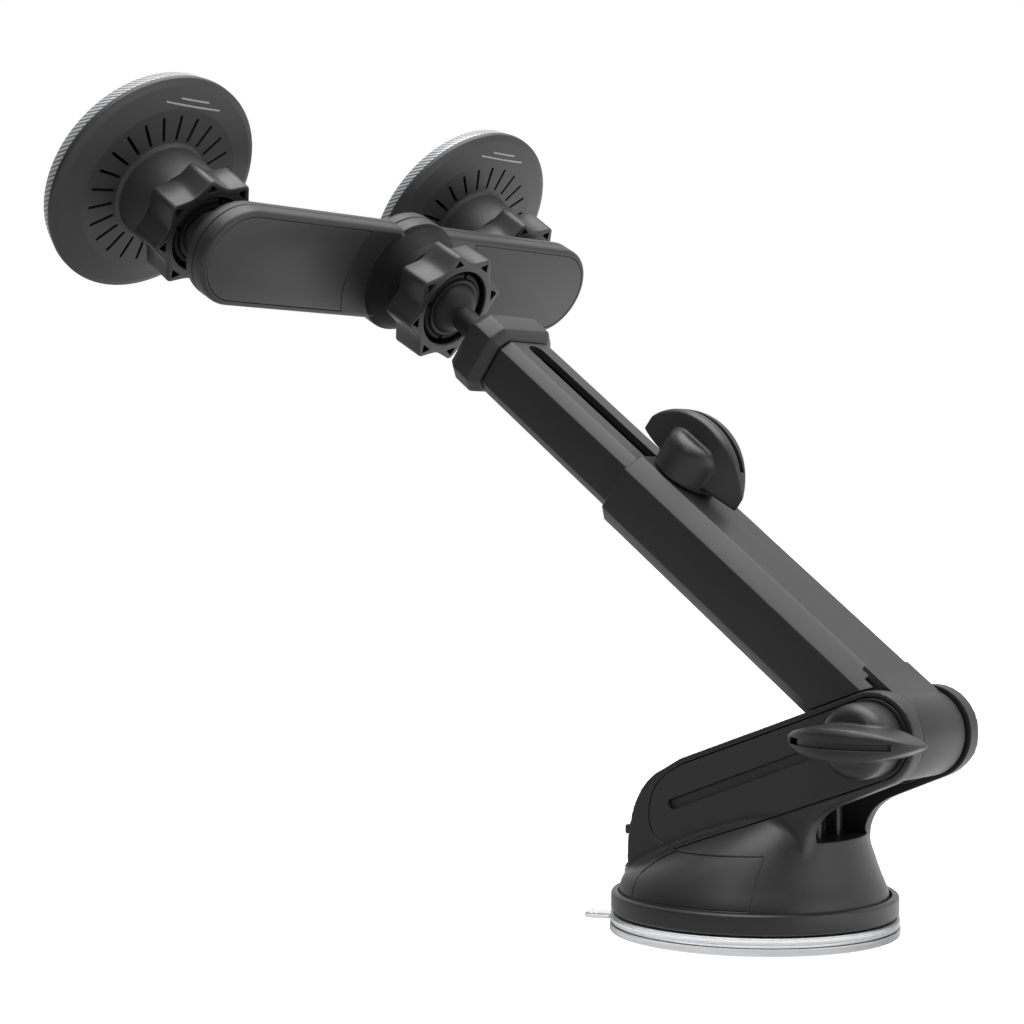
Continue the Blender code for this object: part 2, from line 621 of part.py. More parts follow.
def build_stud(name, carrier, shoulder, shank_end, flange_radius):
    """Ball on a neck. The neck leaves along local +Z to a shoulder and a shank."""
    neck_start = math.sqrt(BALL_RADIUS ** 2 - NECK_RADIUS ** 2)
    profile = [(0.0, -BALL_RADIUS)] + sphere_arc(BALL_RADIUS, -0.96 * BALL_RADIUS,
                                                 neck_start, 7)
    flange = 1.4 * MM
    profile += [(NECK_RADIUS, shoulder - flange), (flange_radius, shoulder - flange),
                (flange_radius, shoulder), (2.9 * MM, shoulder), (2.9 * MM, shank_end),
                (0.0, shank_end)]
    return revolve(name, profile, BLACK, carrier, 20)


def build_socket(word, carrier):
    """Liner, split collet and eight-lobed nut round one ball."""
    inner, outer = BALL_RADIUS + 0.15 * MM, BALL_RADIUS + 1.1 * MM
    low, high = -5.4 * MM, 2.6 * MM
    profile = sphere_arc(outer, low, high, 5) + sphere_arc(inner, high, low, 5)
    revolve(word + "_ball_seat", profile, NYLON, carrier, 20)

    hollow = outer + 0.25 * MM
    bottom = HUB_FLOOR + GAP
    body = HUB_BORE_RADIUS - GAP
    thread = 11.4 * MM
    pit = -8.3 * MM
    waist, lip = 9.9 * MM, 9.5 * MM
    mouth = sphere_arc(hollow, pit, 2.0 * MM, 8)
    profile = [(0.0, bottom), (body, bottom), (body, HUB_TOP + 0.2 * MM),
               (thread, HUB_TOP + 0.2 * MM), (thread, -1.5 * MM), (waist, -0.9 * MM),
               (waist, 1.6 * MM), (lip, 2.0 * MM)]
    profile += list(reversed(mouth)) + [(0.0, pit)]
    collet = revolve(word + "_collet", profile, BLACK, carrier, 28)
    slit = 0.55 * MM
    for across in ((20.0 * MM, slit), (slit, 20.0 * MM)):
        cut(collet, box("slit", (-across[0], -across[1], -4.5 * MM),
                        (across[0], across[1], 10 * MM), carrier=carrier))

    outline = []
    steps = 6
    for i in range(NUT_LOBES * steps):
        share = abs((i % steps) / steps - 0.5) * 2.0
        radius = NUT_VALLEY_RADIUS + (NUT_TIP_RADIUS - NUT_VALLEY_RADIUS) * share ** 1.6
        angle = 2 * math.pi * (i + steps / 2) / (NUT_LOBES * steps)
        outline.append((radius * math.cos(angle), radius * math.sin(angle)))
    nut = prism(word + "_nut", outline, NUT_BACK, NUT_FRONT, "z", BLACK_TRIM, carrier)
    nut_lip = 10.9 * MM
    bore = [(0.0, NUT_BACK - MM), (thread + GAP, NUT_BACK - MM), (thread + GAP, 0.6 * MM),
            (nut_lip, 1.4 * MM), (nut_lip, NUT_FRONT + MM), (0.0, NUT_FRONT + MM)]
    cut(nut, revolve("bore", bore, carrier=carrier, segments=32))
    for i in range(NUT_LOBES):
        angle = 2 * math.pi * (i + 0.5) / NUT_LOBES
        turn = Matrix.Rotation(angle, 2)
        corners = [turn @ Vector(p) for p in ((14.9 * MM, 0.0), (13.0 * MM, 1.5 * MM),
                                              (13.0 * MM, -1.5 * MM))]
        cut(nut, prism("pocket", [tuple(p) for p in corners], NUT_FRONT - 2.2 * MM,
                       NUT_FRONT + MM, "z", carrier=carrier))
    return nut


# ---- crossbar -----------------------------------------------------------------------
def stadium(half_span, radius, steps=12):
    points = arc((half_span, 0.0), radius, -math.pi / 2, math.pi / 2, steps)
    return points + arc((-half_span, 0.0), radius, math.pi / 2, 1.5 * math.pi, steps)


def build_crossbar():
    edge = 1.4 * MM
    sections = []
    for inset, height in ((0.0, BAR_SPLIT + 0.15 * MM), (0.0, BAR_FRONT - edge),
                          (edge * 0.35, BAR_FRONT - edge * 0.35), (edge, BAR_FRONT)):
        sections.append([(x, y, height) for x, y in stadium(BAR_HALF_SPAN,
                                                            BAR_HALF_HEIGHT - inset)])
    front = loft("crossbar_front", sections, BLACK, BAR)
    hub = revolve("hub", [
        (0.0, BAR_SPLIT + 0.15 * MM), (BAR_HUB_RADIUS, BAR_SPLIT + 0.15 * MM),
        (BAR_HUB_RADIUS, BAR_FRONT - 0.4 * MM), (BAR_HUB_RADIUS - 1.0 * MM, BAR_FRONT + MM),
        (14.2 * MM, BAR_FRONT + 3.2 * MM), (HUB_RADIUS, BAR_FRONT + 6.0 * MM),
        (HUB_RADIUS, HUB_TOP), (0.0, HUB_TOP)], carrier=BAR, segments=36)
    join(front, hub)
    cut(front, disc("socket_bore", HUB_BORE_RADIUS, HUB_FLOOR, 0.0, carrier=BAR, segments=32))
    for word, sign in (("left", -1.0), ("right", 1.0)):
        pocket = panel_solid("pocket", sign, PANEL_MARGIN, PANEL_DEPTH, PANEL_HUB_RADIUS)
        cut(front, pocket)
        panel = panel_solid("panel_" + word, sign, PANEL_MARGIN + GAP / 2,
                            PANEL_DEPTH - GAP / 2, PANEL_HUB_RADIUS + GAP / 2)
        keep(panel, box("top", (-0.1, -0.1, BAR_FRONT - 5 * MM), (0.1, 0.1, BAR_FRONT),
                        carrier=BAR))

    sections = []
    for inset, height in ((3.0 * MM, BAR_REAR), (0.9 * MM, BAR_REAR + 0.9 * MM),
                          (0.0, BAR_REAR + 3.0 * MM), (0.0, BAR_SPLIT - 0.15 * MM)):
        sections.append([(x, y, height) for x, y in stadium(BAR_HALF_SPAN,
                                                            BAR_HALF_HEIGHT - inset)])
    rear = loft("crossbar_rear", sections, BLACK, BAR)
    join(rear, revolve("hub", [
        (0.0, BAR_REAR), (BAR_HUB_RADIUS - 3.0 * MM, BAR_REAR),
        (BAR_HUB_RADIUS - 0.9 * MM, BAR_REAR + 0.9 * MM), (BAR_HUB_RADIUS, BAR_REAR + 3 * MM),
        (BAR_HUB_RADIUS, BAR_SPLIT - 0.15 * MM), (0.0, BAR_SPLIT - 0.15 * MM)],
        carrier=BAR, segments=36))
    for sign in (-1.0, 1.0):
        cut(rear, disc("stud_bore", 3.2 * MM, BAR_REAR - MM, BAR_SPLIT + MM, carrier=BAR,
                       segments=20, centre=(sign * BAR_HALF_SPAN, 0.0)))


def panel_solid(name, sign, margin, depth, hub_radius):
    """One wing's inlay: the wing outline drawn in, ending in an arc round the hub."""
    radius = BAR_HALF_HEIGHT - margin
    points = arc((BAR_HALF_SPAN, 0.0), radius, -math.pi / 2, math.pi / 2, 12)
    swing = math.asin(radius / hub_radius)
    points += arc((0.0, 0.0), hub_radius, swing, -swing, 8)
    return prism(name, [(sign * x, y) for x, y in points], BAR_FRONT - depth,
                 BAR_FRONT + MM, "z", BLACK_TRIM, BAR)


# ---- magnetic heads -----------------------------------------------------------------
def build_head(word, carrier):
    inner_radius = HEAD_RADIUS - 2.4 * MM
    rim = HEAD_RIM
    cover = revolve("back_cover_" + word, [
        (0.0, HUB_FLOOR), (HUB_BORE_RADIUS, HUB_FLOOR), (HUB_BORE_RADIUS, HUB_TOP),
        (HUB_RADIUS, HUB_TOP), (HUB_RADIUS, rim + 4.8 * MM), (14.4 * MM, rim + 3.0 * MM),
        (23.5 * MM, rim + 1.9 * MM), (29.6 * MM, rim + 0.6 * MM),
        (HEAD_RADIUS, rim - 0.5 * MM), (HEAD_RADIUS, HEAD_SPLIT), (inner_radius, HEAD_SPLIT),
        (inner_radius, rim - 1.2 * MM), (22.5 * MM, rim + 0.4 * MM), (0.0, rim + 0.8 * MM)],
        BLACK, carrier, 40)
    slot = 0.45 * MM
    for i in range(VENT_COUNT // 2):
        turn = Matrix.Rotation(2 * math.pi * (i + 0.5) / VENT_COUNT, 4, "Z")
        for low, high in ((VENT_INNER, VENT_OUTER), (-VENT_OUTER, -VENT_INNER)):
            corners = [(low, -slot), (high, -slot), (high, slot), (low, slot)]
            corners = [turn @ Vector((x, y, 0.0)) for x, y in corners]
            cut(cover, prism("vent", [(p.x, p.y) for p in corners], rim - 3 * MM,
                             rim + 6 * MM, "z", carrier=carrier))

    band_inner = 28.4 * MM
    edge = 0.5 * MM
    revolve("rim_band_" + word, [
        (band_inner, HEAD_SPLIT - 0.2 * MM), (HEAD_RADIUS - 0.3 * MM, HEAD_SPLIT - 0.2 * MM),
        (BAND_FRONT_RADIUS, BAND_FRONT + edge), (BAND_FRONT_RADIUS - edge, BAND_FRONT),
        (band_inner, BAND_FRONT)], CARBON, carrier, 48)
    face = band_inner - GAP
    revolve("face_pad_" + word, [
        (0.0, FACE_FRONT), (face - 0.4 * MM, FACE_FRONT), (face, FACE_FRONT + 0.4 * MM),
        (face, rim - 4.9 * MM), (0.0, rim - 4.9 * MM)], BLACK_RUBBER, carrier, 40)
    disc("steel_plate_" + word, 27.6 * MM, rim - 4.6 * MM, rim - 3.9 * MM, STEEL, carrier, 36)
    revolve("magnet_ring_" + word, [
        (18.0 * MM, rim - 3.6 * MM), (26.0 * MM, rim - 3.6 * MM), (26.0 * MM, rim - 1.7 * MM),
        (18.0 * MM, rim - 1.7 * MM)], MAGNET, carrier, 36)


# ---- assembly -----------------------------------------------------------------------
build_suction_pad()
build_rim_ring()
build_suction_plate()
build_base()
build_lever()
build_hinge()
build_wing_knob("hinge_knob", KNOB, 10.0 * MM, 4.4 * MM, 8.0 * MM)
build_outer_tube()
build_clamp()
build_wing_knob("clamp_knob", CLAMP, 11.0 * MM, 2.4 * MM, 7.0 * MM)
build_inner_tube()
build_top_cap()
cap_top = CENTRE_BALL_AT - CAP_END
build_stud("centre_stud", STUD, cap_top - 0.2 * MM, cap_top + 11 * MM, 5.2 * MM)
build_socket("centre", BAR)
build_crossbar()
for word in ("left", "right"):
    bar_back = BAR_REAR - HEAD_BALL
    build_stud(word + "_stud", HEAD_STUD_FRAMES[word], bar_back - 0.2 * MM,
               bar_back + 4.0 * MM, 6.4 * MM)
    build_socket(word, HEAD_FRAMES[word])
    build_head(word, HEAD_FRAMES[word])
BASE.location.z = LIFT

for piece in PARTS.objects:
    if piece.type == "MESH":
        piece.data.shade_smooth()
        piece.data.set_sharp_from_angle(angle=math.radians(35))
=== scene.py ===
"""Looks of the car phone mount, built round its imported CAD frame.

Lengths are metres. Each visible piece is modelled in the local axes of its own moving
group, which are read from the CAD joints, and then rides on that group's body.
"""
import json
import math

import bmesh
import bpy
from mathutils import Matrix, Vector


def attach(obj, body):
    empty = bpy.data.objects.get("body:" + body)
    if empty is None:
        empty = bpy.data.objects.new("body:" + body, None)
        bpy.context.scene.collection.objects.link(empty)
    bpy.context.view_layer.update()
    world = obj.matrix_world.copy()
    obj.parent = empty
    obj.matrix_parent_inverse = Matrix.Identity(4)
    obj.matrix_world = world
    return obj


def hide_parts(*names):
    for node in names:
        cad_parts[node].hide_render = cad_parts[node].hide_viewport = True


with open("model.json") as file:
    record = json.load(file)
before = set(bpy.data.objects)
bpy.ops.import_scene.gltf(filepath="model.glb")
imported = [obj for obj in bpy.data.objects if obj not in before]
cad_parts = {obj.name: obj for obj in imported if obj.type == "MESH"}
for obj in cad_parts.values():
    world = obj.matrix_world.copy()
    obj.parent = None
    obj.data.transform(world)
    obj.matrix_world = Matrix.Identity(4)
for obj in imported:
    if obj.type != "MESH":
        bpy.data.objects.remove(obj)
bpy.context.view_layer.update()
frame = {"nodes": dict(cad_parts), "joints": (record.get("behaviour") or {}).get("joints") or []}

MM = 0.001
GAP = 0.3 * MM
WELD = 0.002 * MM

# ---- driving dimensions, as in the CAD ----------------------------------------------
LIFT = 1.2 * MM
PAD_RADIUS = 35.3 * MM
PAD_HEIGHT = 3.2 * MM
RING_RADIUS = 35.0 * MM
RING_BOTTOM = 3.5 * MM
RING_TOP = 8.4 * MM
SHELL_FOOT_RADIUS = 32.9 * MM
FORK_HALF_WIDTH = 15.0 * MM
FORK_GAP_HALF = 10.9 * MM
FORK_SLOPE = math.radians(20.3)
SHOULDER_SLOPE = math.radians(18.8)
CHEEK_RADIUS = 11.1 * MM
JUNCTION_HEIGHT = 19.5 * MM
JUNCTION_SLOPE = 0.34
JUNCTION_SIDE = 16.5 * MM
JUNCTION_REACH_ACROSS = 5.5 * MM
JUNCTION_REACH_UP = 7.0 * MM
COVER_DEPTH = 1.6 * MM
SKIRT_DEPTH = 1.5 * MM

OUTER_HALF_WIDTH = 12.65 * MM
OUTER_HALF_DEPTH = 9.85 * MM
OUTER_CHAMFER = 4.0 * MM
OUTER_END = 96.0 * MM
INNER_HALF_WIDTH = 10.0 * MM
INNER_HALF_DEPTH = 7.8 * MM
INNER_CHAMFER = 2.6 * MM
INNER_START = 66.5 * MM
CAP_START = 149.0 * MM
CAP_END = 162.0 * MM
CLAMP_AT = 87.0 * MM
SLOT_HALF_WIDTH = 2.7 * MM
SLOT_START = 70.0 * MM
SLOT_END = 147.5 * MM
CENTRE_BALL_AT = 178.8 * MM

BALL_RADIUS = 7.5 * MM
NECK_RADIUS = 3.4 * MM
NUT_FRONT = 3.0 * MM
NUT_BACK = -7.0 * MM
NUT_LOBES = 8
NUT_TIP_RADIUS = 16.1 * MM
NUT_VALLEY_RADIUS = 13.5 * MM
THREAD_RADIUS = 11.4 * MM
NUT_MOUTH_RADIUS = 10.9 * MM
NUT_FLARE_RADIUS = 11.3 * MM
COLLET_NOSE_RADIUS = 9.9 * MM
COLLET_LIP_RADIUS = 9.5 * MM
HUB_RADIUS = 13.2 * MM
HUB_TOP = -7.5 * MM
HUB_BORE_RADIUS = 11.0 * MM
HUB_FLOOR = -15.0 * MM

BAR_FRONT = -16.2 * MM
BAR_SPLIT = -20.5 * MM
BAR_REAR = -25.0 * MM
BAR_HALF_SPAN = 62.0 * MM
BAR_HALF_HEIGHT = 13.5 * MM
BAR_HUB_RADIUS = 16.2 * MM
PANEL_MARGIN = 1.6 * MM
PANEL_DEPTH = 1.2 * MM
PANEL_HUB_RADIUS = 24.0 * MM

HEAD_BALL = -34.8 * MM
HEAD_RADIUS = 31.4 * MM
HEAD_RIM = -22.5 * MM
HEAD_SPLIT = HEAD_RIM - 1.8 * MM
BAND_FRONT = HEAD_RIM - 5.6 * MM
BAND_FRONT_RADIUS = 30.3 * MM
BAND_INNER = 28.4 * MM
FACE_FRONT = HEAD_RIM - 6.4 * MM
COVER_BREAK_RADIUS = 23.5 * MM   # where the cover's back starts to slope to its edge
COVER_BREAK_RISE = 1.9 * MM
COVER_SLOPE = 0.213
VENT_COUNT = 24
VENT_INNER = 14.6 * MM
VENT_OUTER = 21.6 * MM

WING_HALF_LENGTH = 17.4 * MM
WING_DEPTH = 14.0 * MM
WING_ROUND = 20.0 * MM
WING_HALF_THICKNESS = 4.3 * MM
KNOB_BOSS_RADIUS = 8.7 * MM
KNOB_DOME = 3.2 * MM

LEVER_HALF_WIDTH = 12.0 * MM
LEVER_TOP = 24.4 * MM
LIP_BOTTOM = 19.8 * MM
LIP_TOP = 22.2 * MM

# ---- local axes, from the CAD joints ------------------------------------------------
joints = {joint["name"]: joint for joint in frame["joints"]}


def joint_point(name):
    return Vector(joints[name]["pos_m"])


def joint_axis(name):
    return Vector(joints[name]["axis"])


def axes(origin, x_axis, z_axis):
    x_axis, z_axis = Vector(x_axis).normalized(), Vector(z_axis).normalized()
    matrix = Matrix((x_axis, z_axis.cross(x_axis), z_axis)).transposed().to_4x4()
    matrix.translation = origin
    return matrix


ACROSS = joint_axis("arm_fold")
HINGE = joint_point("arm_fold")
ARM_AXIS = joint_axis("arm_telescope")
BASE = Matrix.Translation((0.0, 0.0, LIFT))
HINGE_AT = (HINGE.x, HINGE.z - LIFT)   # in the base's own axes
KNOB = axes(joint_point("hinge_knob_turn"), (1.0, 0.0, 0.0), -ACROSS)
ARM = axes(HINGE, ARM_AXIS, joint_axis("clamp_knob_turn"))
CLAMP = axes(joint_point("clamp_knob_turn"), ARM_AXIS, joint_axis("clamp_knob_turn"))
STUD = axes(joint_point("centre_swivel"), ACROSS, -ARM_AXIS)
BAR = axes(joint_point("centre_spin"), ACROSS, joint_axis("centre_spin"))
HEAD_STUDS = {}
HEADS = {}
for side in ("left", "right"):
    HEAD_STUDS[side] = axes(joint_point(side + "_head_swivel"), ACROSS,
                            joint_axis(side + "_head_swivel"))
    HEADS[side] = axes(joint_point(side + "_head_spin"), ACROSS,
                       joint_axis(side + "_head_spin"))


# ---- procedural materials -----------------------------------------------------------
class NodeTree:
    """Small helper that adds and links nodes."""

    def __init__(self, tree):
        self.tree = tree

    def add(self, kind, inputs=None, **settings):
        node = self.tree.nodes.new(kind)
        for key, value in settings.items():
            setattr(node, key, value)
        for key, value in (inputs or {}).items():
            if isinstance(value, bpy.types.NodeSocket):
                self.tree.links.new(value, node.inputs[key])
            else:
                node.inputs[key].default_value = value
        return node


class Nodes(NodeTree):
    """The nodes of one new material."""

    def __init__(self, name):
        self.material = bpy.data.materials.new(name)
        self.material.use_nodes = True
        super().__init__(self.material.node_tree)
        self.shader = self.tree.nodes["Principled BSDF"]
        self.coords = self.add("ShaderNodeTexCoord").outputs["Object"]

    def noise(self, scale, detail=3.0, roughness=0.55):
        node = self.add("ShaderNodeTexNoise", {"Vector": self.coords, "Scale": scale,
                                               "Detail": detail, "Roughness": roughness})
        return node.outputs["Fac"]

    def math(self, operation, first, second=0.0, third=0.0):
        node = self.add("ShaderNodeMath", {0: first, 1: second, 2: third},
                        operation=operation)
        return node.outputs[0]

    def spread(self, value, low, high):
        node = self.add("ShaderNodeMapRange", {"Value": value, "To Min": low, "To Max": high})
        return node.outputs["Result"]

    def blend(self, share, first, second):
        node = self.add("ShaderNodeMix", {"Factor": share}, data_type="RGBA")
        for socket, value in (("A", first), ("B", second)):
            target = [s for s in node.inputs if s.name == socket and s.type == "RGBA"][0]
            if isinstance(value, bpy.types.NodeSocket):
                self.tree.links.new(value, target)
            else:
                target.default_value = (*value, 1.0)
        return [s for s in node.outputs if s.type == "RGBA"][0]

    def set(self, name, value):
        if isinstance(value, bpy.types.NodeSocket):
            self.tree.links.new(value, self.shader.inputs[name])
        else:
            self.shader.inputs[name].default_value = value

    def relief(self, height, strength, distance, edge=0.0):
        """Bump from height; edge is the radius that sharp corners seem to have."""
        inputs = {"Height": height, "Strength": strength, "Distance": distance}
        if edge > 0.0:
            soft = self.add("ShaderNodeBevel", {"Radius": edge}, samples=4)
            inputs["Normal"] = soft.outputs["Normal"]
        self.set("Normal", self.add("ShaderNodeBump", inputs).outputs["Normal"])


def moulded(name, color, roughness, grain=1500.0, strength=0.16, edge=0.35 * MM,
            variation=0.18, specular=0.5):
    """Moulded black plastic: fine spark-eroded grain over slow cloudy variation."""
    nodes = Nodes(name)
    cloud = nodes.noise(38.0, 4.0)
    fine = nodes.noise(grain, 2.0, 0.5)
    low = tuple(c * (1.0 - variation) for c in color)
    high = tuple(c * (1.0 + variation) for c in color)
    speck = nodes.spread(fine, 0.0, 1.0)
    share = nodes.math("MULTIPLY_ADD", speck, 0.35, nodes.math("MULTIPLY", cloud, 0.65))
    nodes.set("Base Color", nodes.blend(share, low, high))
    rough = nodes.math("MULTIPLY_ADD", cloud, 0.10, roughness - 0.05)
    nodes.set("Roughness", nodes.math("MULTIPLY_ADD", fine, 0.06, rough))
    nodes.set("Specular IOR Level", specular)
    nodes.relief(fine, strength, 0.06 * MM, edge)
    return nodes.material


def rubber(name, color):
    nodes = Nodes(name)
    cloud = nodes.noise(60.0, 3.0)
    fine = nodes.noise(2600.0, 2.0)
    nodes.set("Base Color", nodes.blend(cloud, tuple(c * 0.8 for c in color),
                                        tuple(c * 1.25 for c in color)))
    nodes.set("Roughness", nodes.spread(fine, 0.68, 0.85))
    nodes.set("Sheen Weight", 0.15)
    nodes.relief(fine, 0.3, 0.05 * MM, 0.3 * MM)
    return nodes.material


def plated(name, color, roughness):
    """Zinc or nickel plating with turning marks and small spots."""
    nodes = Nodes(name)
    streak = nodes.add("ShaderNodeTexNoise", {
        "Vector": nodes.add("ShaderNodeMapping", {
            "Vector": nodes.coords, "Scale": (1.0, 18.0, 1.0)}).outputs["Vector"],
        "Scale": 320.0, "Detail": 3.0}).outputs["Fac"]
    spots = nodes.noise(90.0, 3.0)
    nodes.set("Base Color", nodes.blend(spots, tuple(c * 0.85 for c in color), color))
    nodes.set("Metallic", 1.0)
    nodes.set("Roughness", nodes.spread(streak, roughness - 0.07, roughness + 0.1))
    nodes.relief(streak, 0.12, 0.02 * MM)
    return nodes.material


def carbon_weave(name):
    """Clear-coated diagonal weave round a band, in the band's own polar coordinates."""
    nodes = Nodes(name)
    parts = nodes.add("ShaderNodeSeparateXYZ", {"Vector": nodes.coords}).outputs
    angle = nodes.math("ARCTAN2", parts["Y"], parts["X"])
    around = nodes.math("MULTIPLY", angle, 132.0 / (2.0 * math.pi))
    along = nodes.math("DIVIDE", parts["Z"], 1.45 * MM)
    diagonal = nodes.math("MULTIPLY_ADD", along, 0.85, around)
    stripe = nodes.math("FRACT", diagonal)
    ridge = nodes.math("SINE", nodes.math("MULTIPLY", stripe, math.pi))
    threads = nodes.math("SINE", nodes.math("MULTIPLY", nodes.math("SUBTRACT", along,
                         nodes.math("MULTIPLY", around, 0.4)), 14.0))
    tint = nodes.math("MULTIPLY_ADD", threads, 0.13, nodes.math("POWER", ridge, 1.6))
    drift = nodes.noise(55.0, 2.0)
    tint = nodes.math("MULTIPLY", tint, nodes.spread(drift, 0.75, 1.2))
    nodes.set("Base Color", nodes.blend(tint, (0.05, 0.05, 0.052), (0.52, 0.53, 0.54)))
    nodes.set("Roughness", nodes.spread(ridge, 0.42, 0.26))
    nodes.set("Metallic", 0.25)
    nodes.set("Coat Weight", 0.5)
    nodes.set("Coat Roughness", 0.12)
    nodes.relief(ridge, 0.5, 0.12 * MM)
    return nodes.material


def gel(name):
    """Clear polyurethane with a faint haze."""
    nodes = Nodes(name)
    haze = nodes.noise(120.0, 3.0)
    nodes.set("Base Color", nodes.blend(haze, (0.66, 0.68, 0.69), (0.74, 0.76, 0.77)))
    nodes.set("Roughness", nodes.spread(haze, 0.02, 0.09))
    nodes.set("Transmission Weight", 1.0)
    nodes.set("IOR", 1.42)
    nodes.relief(nodes.noise(420.0, 2.0), 0.05, 0.1 * MM)
    return nodes.material


def printed(name):
    """Pale pad-printed ink."""
    nodes = Nodes(name)
    wear = nodes.noise(900.0, 2.0)
    nodes.set("Base Color", nodes.blend(wear, (0.20, 0.20, 0.20), (0.42, 0.42, 0.42)))
    nodes.set("Roughness", nodes.spread(wear, 0.5, 0.7))
    nodes.relief(wear, 0.1, 0.01 * MM)
    return nodes.material


BODY = moulded("satin_black", (0.0150, 0.0150, 0.0155), 0.40)
SPECKLED = moulded("grained_black", (0.0165, 0.0165, 0.0170), 0.40, grain=1100.0,
                   strength=0.32, edge=0.6 * MM)
TRIM = moulded("trim_black", (0.0165, 0.0165, 0.0170), 0.36, strength=0.12)
DISC = moulded("disc_black", (0.0230, 0.0230, 0.0235), 0.42, grain=1700.0, edge=0.2 * MM)
PANEL = moulded("panel_black", (0.0260, 0.0260, 0.0265), 0.46, grain=1900.0, strength=0.12,
                edge=0.15 * MM)
# Much darker and duller than the body: painted shade for the hollow flare round the crossbar hub
# and the dark ring round its nut.
HUB_PAINTED_SHADE = moulded("hub_painted_shade", (0.0060, 0.0060, 0.0060), 0.55, strength=0.10, specular=0.12)
# Darker and duller than the body: painted shade on the parts that sit deep inside, the suction
# plate and the collets.
INSIDE_PAINTED_SHADE = moulded("inside_painted_shade", (0.0060, 0.0060, 0.0060), 0.55, strength=0.10, specular=0.2)
LINER = moulded("liner_black", (0.0080, 0.0080, 0.0085), 0.5, grain=2400.0, strength=0.10,
                specular=0.3)
PAD_FACE = rubber("matt_silicone", (0.020, 0.020, 0.021))
STEEL = plated("zinc_plated", (0.55, 0.56, 0.58), 0.32)
NICKEL = plated("nickel_plated", (0.48, 0.48, 0.50), 0.28)
WEAVE = carbon_weave("carbon_weave")
GEL = gel("clear_gel")
INK = printed("pale_ink")

# The suction plate takes the inside look, whose darkness is painted shade; the others are the
# parts' own finishes.
CAD_LOOKS = {"suction_plate": INSIDE_PAINTED_SHADE, "lever_pin": STEEL, "hinge_bolt": STEEL,
             "friction_washer_near": LINER, "friction_washer_far": LINER,
             "clamp_nut": STEEL, "clamp_screw": STEEL, "steel_plate_left": STEEL,
             "steel_plate_right": STEEL, "magnet_ring_left": NICKEL,
             "magnet_ring_right": NICKEL}
for node_name, look in CAD_LOOKS.items():
    kept = frame["nodes"][node_name]
    kept.data.materials.clear()
    kept.data.materials.append(look)


# ---- mesh builders ------------------------------------------------------------------
def placed(name, data):
    result = bpy.data.objects.new(name, data)
    bpy.context.scene.collection.objects.link(result)
    return result


def mesh_piece(name, vertices, faces):
    mesh = bpy.data.meshes.new(name)
    mesh.from_pydata([tuple(v) for v in vertices], [], faces)
    work = bmesh.new()
    work.from_mesh(mesh)
    bmesh.ops.recalc_face_normals(work, faces=work.faces)
    if work.calc_volume(signed=True) < 0:
        bmesh.ops.reverse_faces(work, faces=work.faces)
    work.to_mesh(mesh)
    work.free()
    return placed(name, mesh)


def arc(centre, radius, start, stop, steps):
    points = []
    for i in range(steps + 1):
        angle = start + (stop - start) * i / steps
        points.append((centre[0] + radius * math.cos(angle),
                       centre[1] + radius * math.sin(angle)))
    return points


def rounded(points, radius, steps=6, closed=True):
    """Outline whose corners become arcs; radius is one value or one for each corner."""
    count = len(points)
    radii = list(radius) if hasattr(radius, "__len__") else [radius] * count
    result = []
    for i in range(count):
        corner = Vector(points[i])
        if radii[i] <= 0.0 or (not closed and i in (0, count - 1)):
            result.append(tuple(corner))
            continue
        back = Vector(points[i - 1]) - corner
        ahead = Vector(points[(i + 1) % count]) - corner
        cosine = max(-1.0, min(1.0, back.normalized().dot(ahead.normalized())))
        half = math.acos(cosine) / 2.0
        if half > math.radians(88) or half < math.radians(2):
            result.append(tuple(corner))
            continue
        reach = min(radii[i] / math.tan(half), 0.48 * back.length, 0.48 * ahead.length)
        size = reach * math.tan(half)
        middle = corner + (back.normalized() + ahead.normalized()).normalized() * (
            size / math.sin(half))
        first = corner + back.normalized() * reach - middle
        last = corner + ahead.normalized() * reach - middle
        start = math.atan2(first.y, first.x)
        turn = math.atan2(last.y, last.x) - start
        turn = (turn + math.pi) % (2.0 * math.pi) - math.pi
        result += arc(middle, size, start, start + turn, steps)
    return result


def scaled(points):
    return [tuple(value * MM for value in point) for point in points]


def revolve(name, profile, segments=128):
    """Turn (radius, height) points round local Z; a radius of zero is a point on it."""
    vertices, rings = [], []
    for radius, height in profile:
        count = segments if radius > 1e-7 else 1
        rings.append([len(vertices) + i for i in range(count)])
        for i in range(count):
            angle = 2 * math.pi * i / segments
            vertices.append((radius * math.cos(angle), radius * math.sin(angle), height))
    faces = []
    closing = len(profile) if len(rings[0]) > 1 and len(rings[-1]) > 1 else len(profile) - 1
    for k in range(closing):
        low, high = rings[k], rings[(k + 1) % len(rings)]
        for i in range(segments):
            j = (i + 1) % segments
            corners = [low[i % len(low)], low[j % len(low)],
                       high[j % len(high)], high[i % len(high)]]
            face = list(dict.fromkeys(corners))
            if len(face) > 2:
                faces.append(face)
    return mesh_piece(name, vertices, faces)


def loft(name, sections):
    count = len(sections[0])
    vertices = [point for section in sections for point in section]
    faces = [list(range(count))]
    for k in range(len(sections) - 1):
        start = k * count
        for i in range(count):
            j = (i + 1) % count
            faces.append([start + i, start + j, start + count + j, start + count + i])
    last = (len(sections) - 1) * count
    faces.append([last + i for i in range(count)])
    return mesh_piece(name, vertices, faces)


def prism(name, outline, low, high, axis="z"):
    """Straight solid from a 2-D outline: (x, y) along z, (x, z) along y, (y, z) along x."""
    place = {"z": lambda a, b, c: (a, b, c),
             "y": lambda a, b, c: (a, c, b),
             "x": lambda a, b, c: (c, a, b)}[axis]
    return loft(name, [[place(a, b, c) for a, b in outline] for c in (low, high)])


